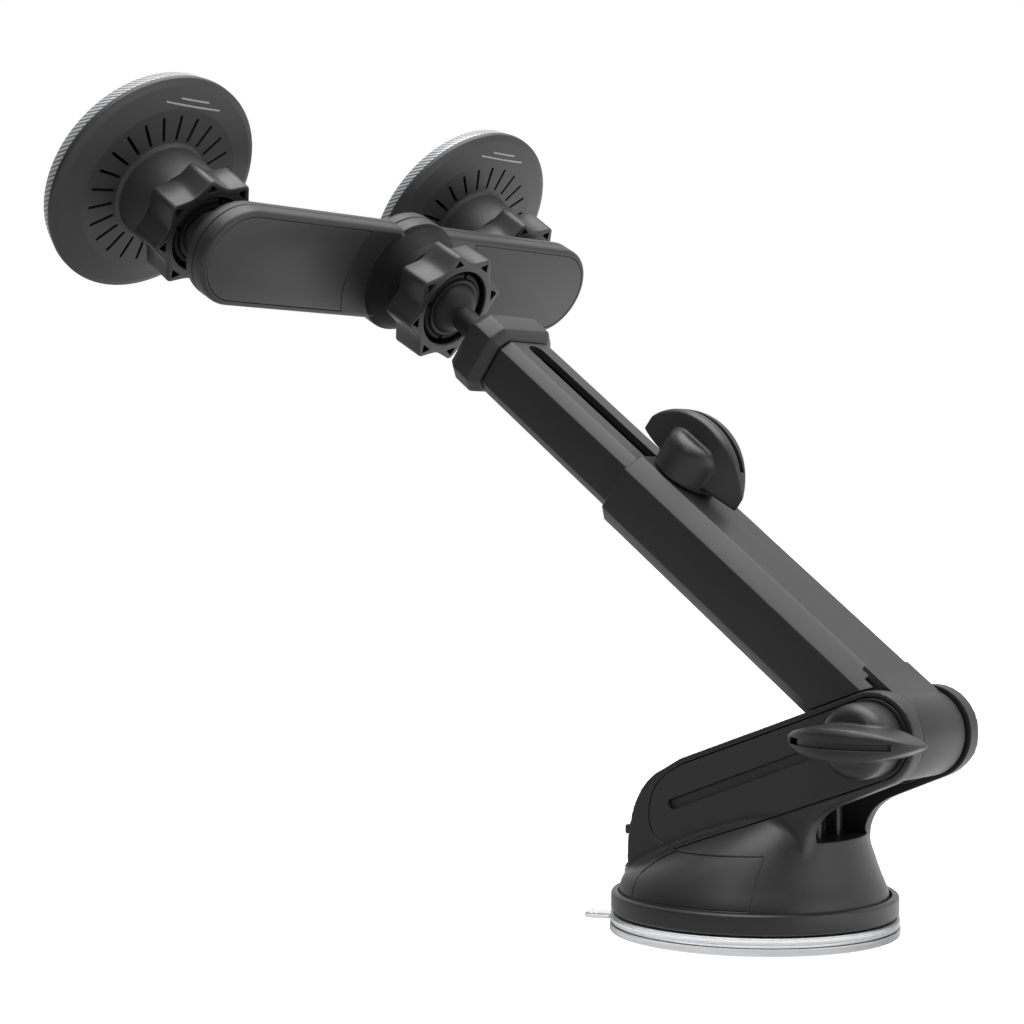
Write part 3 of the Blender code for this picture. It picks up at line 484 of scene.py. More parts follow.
def box(name, low, high):
    outline = [(low[0], low[1]), (high[0], low[1]), (high[0], high[1]), (low[0], high[1])]
    return prism(name, outline, low[2], high[2])


def disc(name, radius, low, high, axis="z", centre=(0.0, 0.0), segments=64):
    outline = arc(centre, radius, 0.0, 2 * math.pi, segments)[:-1]
    return prism(name, outline, low, high, axis)


def chamfered(half_width, half_depth, chamfer, soft=0.0):
    """Eight-sided outline of a rectangle with its corners cut off, edges rounded by soft."""
    w, d, c = half_width, half_depth, chamfer
    outline = [(-w, -d + c), (-w + c, -d), (w - c, -d), (w, -d + c),
               (w, d - c), (w - c, d), (-w + c, d), (-w, d - c)]
    return rounded(outline, soft, 3) if soft > 0.0 else outline


def stadium(half_span, radius, steps=32):
    points = arc((half_span, 0.0), radius, -math.pi / 2, math.pi / 2, steps)
    return points + arc((-half_span, 0.0), radius, math.pi / 2, 1.5 * math.pi, steps)


def bake(piece):
    bpy.context.view_layer.update()
    evaluated = piece.evaluated_get(bpy.context.evaluated_depsgraph_get())
    mesh = bpy.data.meshes.new_from_object(evaluated)
    piece.modifiers.clear()
    piece.data = mesh
    return piece


def modified(piece, kind, **settings):
    """Add one modifier and apply it."""
    modifier = piece.modifiers.new(kind.lower(), kind)
    for key, value in settings.items():
        setattr(modifier, key, value)
    return bake(piece)


def weld(piece):
    work = bmesh.new()
    work.from_mesh(piece.data)
    bmesh.ops.remove_doubles(work, verts=work.verts, dist=WELD)
    bmesh.ops.dissolve_degenerate(work, edges=work.edges, dist=WELD)
    work.to_mesh(piece.data)
    work.free()
    return piece


def merged(name, pieces):
    """Several solids that don't touch, in one mesh, for use as one cutter."""
    work = bmesh.new()
    for piece in pieces:
        work.from_mesh(piece.data)
        bpy.data.objects.remove(piece, do_unlink=True)
    mesh = bpy.data.meshes.new(name)
    work.to_mesh(mesh)
    work.free()
    return placed(name, mesh)


def combine(piece, tools, operation):
    for tool in tools:
        modified(piece, "BOOLEAN", solver="EXACT", operation=operation, object=tool)
        bpy.data.objects.remove(tool, do_unlink=True)
    return weld(piece)


def cut(piece, *tools):
    return combine(piece, tools, "DIFFERENCE")


def join(piece, *tools):
    return combine(piece, tools, "UNION")


def keep(piece, *tools):
    return combine(piece, tools, "INTERSECT")


def copied(piece, name):
    return placed(name, piece.data.copy())


def bevel(piece, width, segments=3, angle=35.0):
    return modified(piece, "BEVEL", width=width, segments=segments, limit_method="ANGLE",
                    angle_limit=math.radians(angle))


def soften(piece, voxel, rounds):
    """Remake the surface at an even size and relax it, so that meeting forms blend."""
    modified(piece, "REMESH", mode="VOXEL", voxel_size=voxel)
    return modified(piece, "SMOOTH", factor=0.5, iterations=rounds)


def blend_junction(piece, rounds):
    """Relax only the hollow where the fork's sides run into the bell."""
    group = piece.vertex_groups.new(name="junction")
    for vertex in piece.data.vertices:
        x, side, z = vertex.co.x, abs(vertex.co.y), vertex.co.z
        surface = JUNCTION_HEIGHT + JUNCTION_SLOPE * x
        away = max(abs(side - JUNCTION_SIDE) / JUNCTION_REACH_ACROSS,
                   abs(z - surface) / JUNCTION_REACH_UP)
        if away < 1.0:
            group.add([vertex.index], min(1.0, 2.0 * (1.0 - away)), "REPLACE")
    modified(piece, "SMOOTH", factor=0.5, iterations=rounds, vertex_group=group.name)
    piece.vertex_groups.clear()
    return piece


def show(piece, carrier, body, look, slot, *nodes, sharp=32.0):
    """Place a finished piece in its local axes on its body, in place of its CAD nodes."""
    piece.matrix_world = carrier
    piece.data.shade_smooth()
    piece.data.set_sharp_from_angle(angle=math.radians(sharp))
    piece.data.materials.clear()
    piece.data.materials.append(look)
    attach(piece, body)
    if nodes:
        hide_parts(*nodes)
    return piece


# ---- suction base -------------------------------------------------------------------
def suction_pad():
    """Clear pad: two layers with a groove between them, and a ribbed pull tab."""
    groove = 0.9 * MM
    profile = [(0.0, -LIFT), (PAD_RADIUS, -LIFT), (PAD_RADIUS, groove - 0.3 * MM),
               (PAD_RADIUS - 0.5 * MM, groove - 0.1 * MM),
               (PAD_RADIUS - 0.5 * MM, groove + 0.2 * MM),
               (PAD_RADIUS - 0.1 * MM, groove + 0.4 * MM), (PAD_RADIUS - 0.1 * MM, PAD_HEIGHT),
               (0.0, PAD_HEIGHT)]
    radii = [value * MM for value in (0, 0.4, 0.15, 0.05, 0.05, 0.15, 0.8, 0)]
    pad = revolve("pad", rounded(profile, radii, 4, closed=False), 192)
    angle = math.radians(213)
    along = Vector((math.cos(angle), math.sin(angle)))
    side = Vector((-along.y, along.x))
    shape = scaled([(33.0, 5.0), (39.8, 4.2), (41.4, 2.6)])
    outline = [along * reach + side * half for reach, half in shape]
    outline += [along * reach - side * half for reach, half in reversed(shape)]
    tab = prism("tab", rounded(outline, 0.9 * MM), 1.4 * MM, 2.4 * MM)
    bevel(tab, 0.3 * MM)
    ribs = []
    for reach in (37.4, 38.6, 39.8):
        outline = [along * (reach + out) * MM + side * half * MM
                   for out, half in ((-0.25, 3.2), (0.25, 3.2), (0.25, -3.2), (-0.25, -3.2))]
        ribs.append(prism("rib", outline, 2.15 * MM, 3.1 * MM))
    cut(tab, merged("ribs", ribs))
    join(pad, tab)
    pad.name = "gel_pad"
    show(pad, BASE, "base", GEL, "clear_gel", "suction_pad")


def rim_ring():
    inner = SHELL_FOOT_RADIUS + GAP
    profile = [(inner, RING_BOTTOM), (RING_RADIUS, RING_BOTTOM), (RING_RADIUS, RING_TOP),
               (inner, RING_TOP)]
    ring = revolve("base_rim", rounded(profile, (0.2 * MM, 0.8 * MM, 0.9 * MM, 0.25 * MM)),
                   192)
    show(ring, BASE, "base", TRIM, "trim_black", "rim_ring")


BELL_ROWS = [(3.8, 0.0, -0.2, 32.9, 32.9), (8.6, 0.0, -0.3, 32.8, 32.8),
             (12.5, 0.15, -1.2, 31.6, 31.4), (16.0, 0.4, -1.7, 30.4, 29.2),
             (19.0, 0.65, -1.9, 29.3, 26.2), (21.6, 0.85, -2.0, 27.8, 22.6),
             (23.8, 1.0, -2.0, 25.4, 18.6), (25.3, 1.0, -2.0, 20.0, 13.6)]


def smooth_rows(rows, between):
    """Rows with a smooth curve run through them (Catmull-Rom)."""
    result = []
    last = len(rows) - 1
    for k in range(last):
        p0, p1 = rows[max(k - 1, 0)], rows[k]
        p2, p3 = rows[k + 1], rows[min(k + 2, last)]
        for step in range(between):
            t = step / between
            row = []
            for a, b, c, d in zip(p0, p1, p2, p3):
                row.append(0.5 * (2 * b + (c - a) * t + (2 * a - 5 * b + 4 * c - d) * t * t
                                  + (3 * b - a - 3 * c + d) * t ** 3))
            result.append(row)
    return result + [list(rows[last])]


def base_body(name, inset=0.0, between=1, steps=48):
    """Bell that leans back over the rear edge, joined to the rising two-cheek fork."""
    lean = math.tan(SHOULDER_SLOPE)
    sections = []
    for height, lean_share, centre, half_x, half_y in smooth_rows(BELL_ROWS, between):
        section = []
        for i in range(steps):
            angle = 2 * math.pi * i / steps
            x = centre * MM + (half_x * MM - inset) * math.cos(angle)
            z = height * MM * (1.0 - inset / RING_RADIUS) + lean_share * lean * x
            section.append((x, (half_y * MM - inset) * math.sin(angle), z))
        sections.append(section)
    fork = prism("fork", fork_outline(inset), inset - FORK_HALF_WIDTH,
                 FORK_HALF_WIDTH - inset, "y")
    return join(loft(name, sections), fork)


def fork_outline(inset=0.0):
    rise = math.tan(FORK_SLOPE)
    cheek = arc(HINGE_AT, CHEEK_RADIUS - inset, FORK_SLOPE - math.pi / 2,
                FORK_SLOPE + math.pi / 2, 40)
    top_end = cheek[-1]
    rear_x = -12.0 * MM
    rear_top = (rear_x, top_end[1] - (top_end[0] - rear_x) * rise)
    under = [(23.4, 12.0), (23.8, 19.0), (24.6, 25.0), (26.6, 29.0), (30.0, 31.9), (34.6, 34.0)]
    under = [(x * MM - inset, z * MM + inset) for x, z in smooth_rows(under, 4)]
    rear = [(-12.0, 39.55), (-17.4, 37.9), (-21.2, 35.4), (-24.0, 32.0), (-26.0, 28.0),
            (-27.3, 22.5), (-28.0, 17.0), (-28.2, 12.0)]
    rear = [(x * MM + inset, z * MM) for x, z in smooth_rows(rear, 4)[4:]]
    return under + cheek + [rear_top] + rear


def cover_outline(shrink):
    radius = CHEEK_RADIUS - 1.5 * MM - shrink
    cheek = arc(HINGE_AT, radius, FORK_SLOPE - math.pi / 2, FORK_SLOPE + math.pi / 2, 32)
    rise = math.tan(FORK_SLOPE)
    low, high = cheek[0], cheek[-1]
    rear_low = (-10.0 * MM, low[1] - (low[0] + 10.0 * MM) * rise)
    rear_high = (-11.0 * MM, high[1] - (high[0] + 11.0 * MM) * rise)
    nose = [(-15.8, 37.0), (-19.2, 33.6), (-20.8, 29.0), (-20.8, 25.0), (-19.4, 21.8),
            (-16.6, 20.0), (-13.4, 19.8)]
    nose = [(x * MM + shrink, z * MM) for x, z in smooth_rows(nose, 3)]
    return cheek + [rear_high] + nose + [rear_low]


def skirt_outline(shrink):
    """Lower panel. Its right and lower edges run flush, so only two edges show a seam."""
    s = shrink
    flush = GAP / 2
    return [(-15.4 * MM + s, 8.8 * MM - flush), (17.0 * MM + flush, 8.8 * MM - flush),
            (17.0 * MM + flush, 20.6 * MM - s * 0.3), (-8.0 * MM + s, 19.7 * MM - s * 0.5),
            (-12.4 * MM + s, 17.4 * MM - s), (-15.2 * MM + s, 14.0 * MM - s)]


def side_range(sign):
    far, near = 45.0 * MM, 2.0 * MM
    return (-far, -near) if sign < 0 else (near, far)


def base_pieces():
    body = base_body("body", 0.0, 5, 180)
    soften(body, 0.55 * MM, 5)
    blend_junction(body, 40)
    shell = copied(body, "shell")
    slot = scaled([(18.0, 23.5), (62.0, 23.5), (62.0, 72.0), (19.5, 72.0), (19.5, 52.7),
                   (30.0, 45.0), (30.3, 40.2), (18.0, 36.5)])
    radii = [value * MM for value in (1.6, 0, 0, 0, 3.0, 2.0, 2.0, 2.0)]
    cut(shell, prism("slot", rounded(slot, radii), -FORK_GAP_HALF, FORK_GAP_HALF, "y"))
    pockets = []
    for sign in (-1.0, 1.0):
        low, high = side_range(sign)
        for outline, depth in ((cover_outline, COVER_DEPTH), (skirt_outline, SKIRT_DEPTH)):
            pocket = prism("pocket", outline(-GAP / 2), low, high, "y")
            pockets.append(cut(pocket, base_body("core", depth)))
    cut(shell, *pockets)
    cavity = scaled([(0.0, 3.0), (28.5, 3.0), (28.0, 5.6), (22.4, 9.4), (21.6, 14.0),
                     (18.0, 17.6), (0.0, 18.0)])
    cut(shell, revolve("cavity", cavity, 64))
    half = LEVER_HALF_WIDTH + GAP
    cut(shell, box("lever_pocket", (-45 * MM, -half, 9.3 * MM),
                   (-24.7 * MM, half, LEVER_TOP + 2 * GAP)))
    cut(shell, disc("bolt_bore", 3.2 * MM, -20 * MM, 20 * MM, "y", HINGE_AT))
    cut(shell, disc("head_pocket", 6.3 * MM, 12.0 * MM, 20 * MM, "y", HINGE_AT, 6))
    ribs = []
    for middle in (-4.2, 4.2):
        rib = box("rib", (16.0 * MM, (middle - 0.8) * MM, 22.5 * MM),
                  (21.5 * MM, (middle + 0.8) * MM, 38.0 * MM))
        ribs.append(bevel(rib, 0.25 * MM, 2))
    join(shell, *ribs)
    show(shell, BASE, "base", SPECKLED, "matte_black", "base_shell")

    for sign, word in ((-1.0, "near"), (1.0, "far")):
        low, high = side_range(sign)
        cover = keep(copied(body, "cover_" + word),
                     prism("edge", cover_outline(GAP / 2), low, high, "y"))
        cut(cover, base_body("core", COVER_DEPTH - GAP))
        cut(cover, disc("hole", 6.8 * MM, -20 * MM, 20 * MM, "y", HINGE_AT))
        cut(cover, cover_groove(sign))
        show(cover, BASE, "base", SPECKLED, "trim_black", "side_cover_" + word)
        skirt = keep(copied(body, "skirt_" + word),
                     prism("edge", skirt_outline(GAP / 2), low, high, "y"))
        cut(skirt, base_body("core", SKIRT_DEPTH - GAP))
        show(skirt, BASE, "base", SPECKLED, "matte_black", "skirt_panel_" + word)

    lever = keep(copied(body, "lever"), box("block", (-40 * MM, -LEVER_HALF_WIDTH, 12.0 * MM),
                                            (-25.0 * MM, LEVER_HALF_WIDTH, LEVER_TOP)))
    pivot = joint_point("lock_lever_turn")
    at = (pivot.x, pivot.z - LIFT)
    half = LEVER_HALF_WIDTH
    barrel = bevel(disc("barrel", 2.2 * MM, -half, half, "y", at), 0.3 * MM)
    lip = box("lip", (-34.6 * MM, -7.0 * MM, LIP_BOTTOM), (-26.0 * MM, 7.0 * MM, LIP_TOP))
    join(lever, barrel, bevel(lip, 0.5 * MM))
    cut(lever, disc("bore", 1.3 * MM, -half - MM, half + MM, "y", at))
    show(lever, BASE, "lock_lever", BODY, "matte_black", "lock_lever")
    bpy.data.objects.remove(body, do_unlink=True)


def cover_groove(sign):
    """Round-ended channel that runs up the outside of a side cover."""
    start, stop = Vector((-15.0 * MM, 29.3 * MM)), Vector((25.0 * MM, 44.6 * MM))
    along = (stop - start).normalized()
    across = Vector((-along.y, along.x)) * 1.25 * MM
    outline = [start + across, start - across, stop - across, stop + across]
    floor, far = FORK_HALF_WIDTH - 1.1 * MM, FORK_HALF_WIDTH + 3.0 * MM
    low, high = (-far, -floor) if sign < 0 else (floor, far)
    return prism("groove", rounded(outline, 1.1 * MM), low, high, "y")


# ---- knobs --------------------------------------------------------------------------
def wing_knob(name, carrier, node, boss_height, wing_base):
    """D-shaped wing with a grooved edge, blended into a domed boss."""
    wing = []
    columns = 48
    for i in range(columns + 1):
        swing = math.pi / 2 * (-1.0 + 2.0 * i / columns)
        x = WING_HALF_LENGTH * math.sin(swing)
        top = wing_base + WING_DEPTH - WING_ROUND + math.sqrt(WING_ROUND ** 2 - x ** 2)
        half = WING_HALF_THICKNESS * (0.08 + 0.92 * (1.0 - abs(math.sin(swing)) ** 2.5))
        wing.append([(x, -half, wing_base), (x, half, wing_base),
                     (x, half * 0.88, top - 0.8 * MM), (x, half * 0.60, top),
                     (x, -half * 0.60, top), (x, -half * 0.88, top - 0.8 * MM)])
    knob = loft(name, wing)
    profile = [(0.0, 0.5 * MM), (KNOB_BOSS_RADIUS, 0.5 * MM), (KNOB_BOSS_RADIUS, boss_height),
               (0.0, boss_height)]
    join(knob, revolve("boss", rounded(profile, (0, 0.3 * MM, KNOB_DOME, 0), 8, False), 96))
    soften(knob, 0.33 * MM, 4)
    cut(knob, disc("bore", 3.1 * MM, -MM, 2.0 * MM))
    centre = (0.0, wing_base + WING_DEPTH - WING_ROUND)
    swing = math.radians(41)
    depth = 1.0 * MM
    ring = arc(centre, WING_ROUND + 3 * MM, math.pi / 2 - swing, math.pi / 2 + swing, 40)
    ring += arc(centre, WING_ROUND - depth, math.pi / 2 + swing, math.pi / 2 - swing, 40)
    cut(knob, prism("groove", ring, -0.8 * MM, 0.8 * MM, "y"))
    hole_x = -WING_ROUND * math.sin(swing)
    hole_top = centre[1] + WING_ROUND * math.cos(swing)
    cut(knob, box("hole", (hole_x - 0.2 * MM, -0.8 * MM, hole_top - 3.0 * MM),
                  (hole_x + 2.0 * MM, 0.8 * MM, hole_top + 4.0 * MM)))
    show(knob, carrier, node, TRIM, "trim_black", node, sharp=50.0)


# ---- telescopic arm -----------------------------------------------------------------
def outer_tube():
    edge = 0.5 * MM
    outline = chamfered(OUTER_HALF_WIDTH, OUTER_HALF_DEPTH, OUTER_CHAMFER, edge)
    small = chamfered(OUTER_HALF_WIDTH - edge, OUTER_HALF_DEPTH - edge,
                      OUTER_CHAMFER - edge * 0.6, edge)
    sections = [[(4.8 * MM, y, z) for y, z in outline],
                [(OUTER_END - edge, y, z) for y, z in outline],
                [(OUTER_END, y, z) for y, z in small]]
    tube = loft("arm_outer", sections)
    clear = FORK_GAP_HALF - GAP
    fork_line = scaled([(2.0, -12.0), (21.5, -12.0), (6.1, 12.0), (2.0, 12.0)])
    cut(tube, prism("fork_side", fork_line, -20 * MM, 20 * MM, "y"))
    cut(tube, box("between_cheeks", (0.0, -clear, -20 * MM), (11.8 * MM, clear, 20 * MM)))
    core = prism("core", chamfered(clear, OUTER_HALF_DEPTH, OUTER_CHAMFER / 2, edge),
                 11.6 * MM, 24.0 * MM, "x")
    half = 9.6 * MM
    barrel = bevel(disc("barrel", 10.4 * MM, -half, half, "y", segments=128), 0.5 * MM)
    neck = box("neck", (0.0, -half, -OUTER_HALF_DEPTH), (14.0 * MM, half, OUTER_HALF_DEPTH))
    join(tube, core, barrel, neck)
    fit = 0.35 * MM
    cavity = chamfered(INNER_HALF_WIDTH + fit, INNER_HALF_DEPTH + fit, INNER_CHAMFER)
    cut(tube, prism("cavity", cavity, 15.8 * MM, OUTER_END + MM, "x"))
    cut(tube, disc("bolt_bore", 3.2 * MM, -20 * MM, 20 * MM, "y"))
    cut(tube, disc("clamp_bore", 3.0 * MM, 0.0, 20 * MM, centre=(CLAMP_AT, 0.0)))
    show(tube, ARM, "arm", BODY, "matte_black", "outer_tube")


def inner_tube():
    outline = chamfered(INNER_HALF_WIDTH, INNER_HALF_DEPTH, INNER_CHAMFER, 0.4 * MM)
    tube = prism("arm_inner", outline, INNER_START, CAP_START - GAP, "x")
    wall = 1.8 * MM
    bore = chamfered(INNER_HALF_WIDTH - wall, INNER_HALF_DEPTH - wall, 1.8 * MM)
    cut(tube, prism("bore", bore, INNER_START - MM, CAP_START + MM, "x"))
    slot = arc((SLOT_START + SLOT_HALF_WIDTH, 0.0), SLOT_HALF_WIDTH, math.pi / 2,
               1.5 * math.pi, 24)
    slot += arc((SLOT_END - SLOT_HALF_WIDTH, 0.0), SLOT_HALF_WIDTH, -math.pi / 2,
                math.pi / 2, 24)
    cut(tube, prism("slot", slot, 2.0 * MM, 12.0 * MM))
    show(tube, ARM, "inner_arm", BODY, "matte_black", "inner_tube")


def top_cap():
    sections = []
    for at, half_width, half_depth, chamfer in (
            (144.0, 7.9, 5.7, 1.6), (149.0, 7.9, 5.7, 1.6), (149.05, 10.6, 8.4, 2.8),
            (151.5, 12.6, 10.0, 3.4), (157.5, 12.6, 10.0, 3.4), (159.5, 11.8, 9.2, 3.2),
            (162.0, 7.5, 6.5, 2.4)):
        ring = chamfered(half_width * MM, half_depth * MM, chamfer * MM, 0.6 * MM)
        sections.append([(at * MM, y, z) for y, z in ring])
    cap = bevel(loft("arm_cap", sections), 0.35 * MM, 3, 20.0)
    cut(cap, disc("bore", 3.3 * MM, 143 * MM, 163 * MM, "x"))
    show(cap, ARM, "inner_arm", BODY, "matte_black", "top_cap", sharp=40.0)


# ---- ball joints --------------------------------------------------------------------
def sphere_arc(radius, low, high, steps):
    return arc((0.0, 0.0), radius, math.asin(low / radius), math.asin(high / radius), steps)


def stud(name, carrier, node, shoulder, shank_end, flange_radius):
    neck_start = math.sqrt(BALL_RADIUS ** 2 - NECK_RADIUS ** 2)
    ball = [(0.0, -BALL_RADIUS)] + sphere_arc(BALL_RADIUS, -0.995 * BALL_RADIUS, neck_start,
                                              28)
    shank = 2.9 * MM
    flange = 1.4 * MM
    stem = [(NECK_RADIUS, neck_start + 0.8 * MM), (NECK_RADIUS, shoulder - flange),
            (flange_radius, shoulder - flange), (flange_radius, shoulder), (shank, shoulder),
            (shank, shank_end), (0.0, shank_end)]
    stem = rounded(stem, (0, 1.0 * MM, 0.3 * MM, 0.2 * MM, 0.1 * MM, 0.3 * MM, 0), 5, False)
    show(revolve(name, ball + stem, 96), carrier, node, LINER, "matte_black", node)


def socket(word, carrier, seat_body, socket_body, nut_body):
    """Liner, split collet and eight-lobed nut round one ball."""
    inner, outer = BALL_RADIUS + 0.15 * MM, BALL_RADIUS + 1.1 * MM
    low, high = -5.4 * MM, 2.6 * MM
    profile = sphere_arc(outer, low, high, 16) + sphere_arc(inner, high, low, 16)
    show(revolve(word + "_liner", profile, 96), carrier, seat_body, LINER, "nylon_liner",
         word + "_ball_seat")

    hollow = outer + 0.25 * MM
    bottom = HUB_FLOOR + GAP
    body = HUB_BORE_RADIUS - GAP
    pit = -8.3 * MM
    mouth = sphere_arc(hollow, pit, 2.0 * MM, 24)
    outside = [(0.0, bottom), (body, bottom), (body, HUB_TOP + 0.2 * MM),
               (THREAD_RADIUS, HUB_TOP + 0.2 * MM), (THREAD_RADIUS, -1.5 * MM),
               (COLLET_NOSE_RADIUS, -0.9 * MM), (COLLET_NOSE_RADIUS, 1.6 * MM),
               (COLLET_LIP_RADIUS, 2.0 * MM)]
    outside = rounded(outside, (0, 0.3 * MM, 0, 0, 0.1 * MM, 0.1 * MM, 0.2 * MM, 0), 4,
                      False)
    collet = revolve(word + "_fingers", outside + list(reversed(mouth)) + [(0.0, pit)], 96)
    slit = 0.55 * MM
    for across in ((20.0 * MM, slit), (slit, 20.0 * MM)):
        cut(collet, box("slit", (-across[0], -across[1], -4.5 * MM),
                        (across[0], across[1], 10 * MM)))
    # The collet's dark inside look is painted shade within the nut.
    show(collet, carrier, socket_body, INSIDE_PAINTED_SHADE, "matte_black", word + "_collet")

    edge = 0.45 * MM
    sections = []
    for inset, height in ((edge, NUT_BACK), (edge * 0.3, NUT_BACK + edge * 0.3),
                          (0.0, NUT_BACK + edge), (0.0, NUT_FRONT - edge),
                          (edge * 0.3, NUT_FRONT - edge * 0.3), (edge, NUT_FRONT)):
        sections.append([(x, y, height) for x, y in nut_outline(inset)])
    nut = loft(word + "_ring", sections)
    bore = [(0.0, NUT_BACK - MM), (THREAD_RADIUS + 0.3 * MM, NUT_BACK - MM),
            (THREAD_RADIUS + 0.3 * MM, 0.6 * MM), (NUT_MOUTH_RADIUS, 1.4 * MM),
            (NUT_MOUTH_RADIUS, NUT_FRONT - 0.3 * MM),
            (NUT_FLARE_RADIUS, NUT_FRONT + 0.1 * MM), (NUT_FLARE_RADIUS, NUT_FRONT + MM),
            (0.0, NUT_FRONT + MM)]
    cut(nut, revolve("bore", bore, 96))
    pockets = []
    for i in range(NUT_LOBES):
        turn = Matrix.Rotation(2 * math.pi * (i + 0.5) / NUT_LOBES, 2)
        corners = [turn @ Vector(p) for p in scaled([(15.0, 0.0), (12.9, 1.75), (12.9, -1.75)])]
        pockets.append(prism("pocket", rounded(corners, 0.15 * MM, 2), NUT_FRONT - 2.2 * MM,
                             NUT_FRONT + MM))
    cut(nut, merged("pockets", pockets))
    show(nut, carrier, nut_body, TRIM, "trim_black", word + "_nut")


def nut_outline(inset):
    """Eight narrow ridges with hollow scallops between them."""
    points = []
    steps = 20
    for i in range(NUT_LOBES * steps):
        share = min(1.0, abs((i % steps) / steps - 0.5) * 2.0 / 0.92)
        radius = NUT_VALLEY_RADIUS + (NUT_TIP_RADIUS - NUT_VALLEY_RADIUS) * share ** 1.7
        angle = 2 * math.pi * (i + steps / 2) / (NUT_LOBES * steps)
        points.append(((radius - inset) * math.cos(angle), (radius - inset) * math.sin(angle)))
    return points


# ---- crossbar -----------------------------------------------------------------------
def bar_half(name, rows):
    sections = []
    for inset, height in rows:
        sections.append([(x, y, height) for x, y in stadium(BAR_HALF_SPAN,
                                                            BAR_HALF_HEIGHT - inset)])
    return loft(name, sections)


def quarter_rows(inner, base, edge, sign, steps=5):
    """(inset, height) pairs of a rounded edge that ends at height base."""
    rows = []
    for i in range(steps + 1):
        angle = math.pi / 2 * i / steps
        rows.append((inner + edge * (1 - math.cos(angle)), base + sign * edge * math.sin(angle)))
    return rows


def crossbar():
    edge = 1.4 * MM
    front = bar_half("bar_front", [(0.0, BAR_SPLIT + 0.15 * MM)]
                     + quarter_rows(0.0, BAR_FRONT - edge, edge, 1.0))
    hub = [(0.0, BAR_SPLIT + 0.15 * MM), (BAR_HUB_RADIUS, BAR_SPLIT + 0.15 * MM),
           (BAR_HUB_RADIUS, BAR_FRONT - 0.4 * MM), (BAR_HUB_RADIUS - 1.0 * MM, BAR_FRONT + MM),
           (14.2 * MM, BAR_FRONT + 3.2 * MM), (HUB_RADIUS, BAR_FRONT + 6.0 * MM),
           (HUB_RADIUS, HUB_TOP), (0.0, HUB_TOP)]
    hub = rounded(hub, (0, 0.2 * MM, 1.0 * MM, 1.5 * MM, 3.0 * MM, 3.0 * MM, 0.4 * MM, 0), 6,
                  False)
    join(front, revolve("hub", hub, 128))
    cut(front, disc("socket_bore", HUB_BORE_RADIUS, HUB_FLOOR, 0.0, segments=96))
    for word, sign in (("left", -1.0), ("right", 1.0)):
        cut(front, panel_solid("pocket", sign, PANEL_MARGIN, PANEL_DEPTH, PANEL_HUB_RADIUS))
        panel = panel_solid("inlay_" + word, sign, PANEL_MARGIN + GAP / 2,
                            PANEL_DEPTH - GAP / 2, PANEL_HUB_RADIUS + GAP / 2, BAR_FRONT)
        show(bevel(panel, 0.15 * MM, 2), BAR, "crossbar", PANEL, "trim_black",
             "panel_" + word)
    show(front, BAR, "crossbar", BODY, "matte_black", "crossbar_front")
    # The faces that rise above the bar's front take the darker look: painted shade in the flare
    # round the nut.
    front.data.materials.append(HUB_PAINTED_SHADE)
    for face in front.data.polygons:
        if face.center.z > BAR_FRONT + 0.3 * MM:
            face.material_index = 1

    depth = 3.0 * MM
    rows = [(0.0, BAR_SPLIT - 0.15 * MM)] + quarter_rows(0.0, BAR_REAR + depth, depth, -1.0, 8)
    rear = bar_half("bar_rear", rows)
    profile = [(0.0, BAR_SPLIT - 0.15 * MM), (BAR_HUB_RADIUS, BAR_SPLIT - 0.15 * MM),
               (BAR_HUB_RADIUS, BAR_REAR), (0.0, BAR_REAR)]
    join(rear, revolve("hub", rounded(profile, (0, 0.1 * MM, depth, 0), 10, False), 128))
    bores = []
    for sign in (-1.0, 1.0):
        bores.append(disc("stud_bore", 3.2 * MM, BAR_REAR - MM, BAR_SPLIT + MM,
                          centre=(sign * BAR_HALF_SPAN, 0.0)))
    cut(rear, merged("bores", bores))
    show(rear, BAR, "crossbar", BODY, "matte_black", "crossbar_rear")


def panel_solid(name, sign, margin, depth, hub_radius, top=BAR_FRONT + MM):
    radius = BAR_HALF_HEIGHT - margin
    points = arc((BAR_HALF_SPAN, 0.0), radius, -math.pi / 2, math.pi / 2, 32)
    swing = math.asin(radius / hub_radius)
    points += arc((0.0, 0.0), hub_radius, swing, -swing, 24)
    return prism(name, [(sign * x, y) for x, y in points], BAR_FRONT - depth, top)


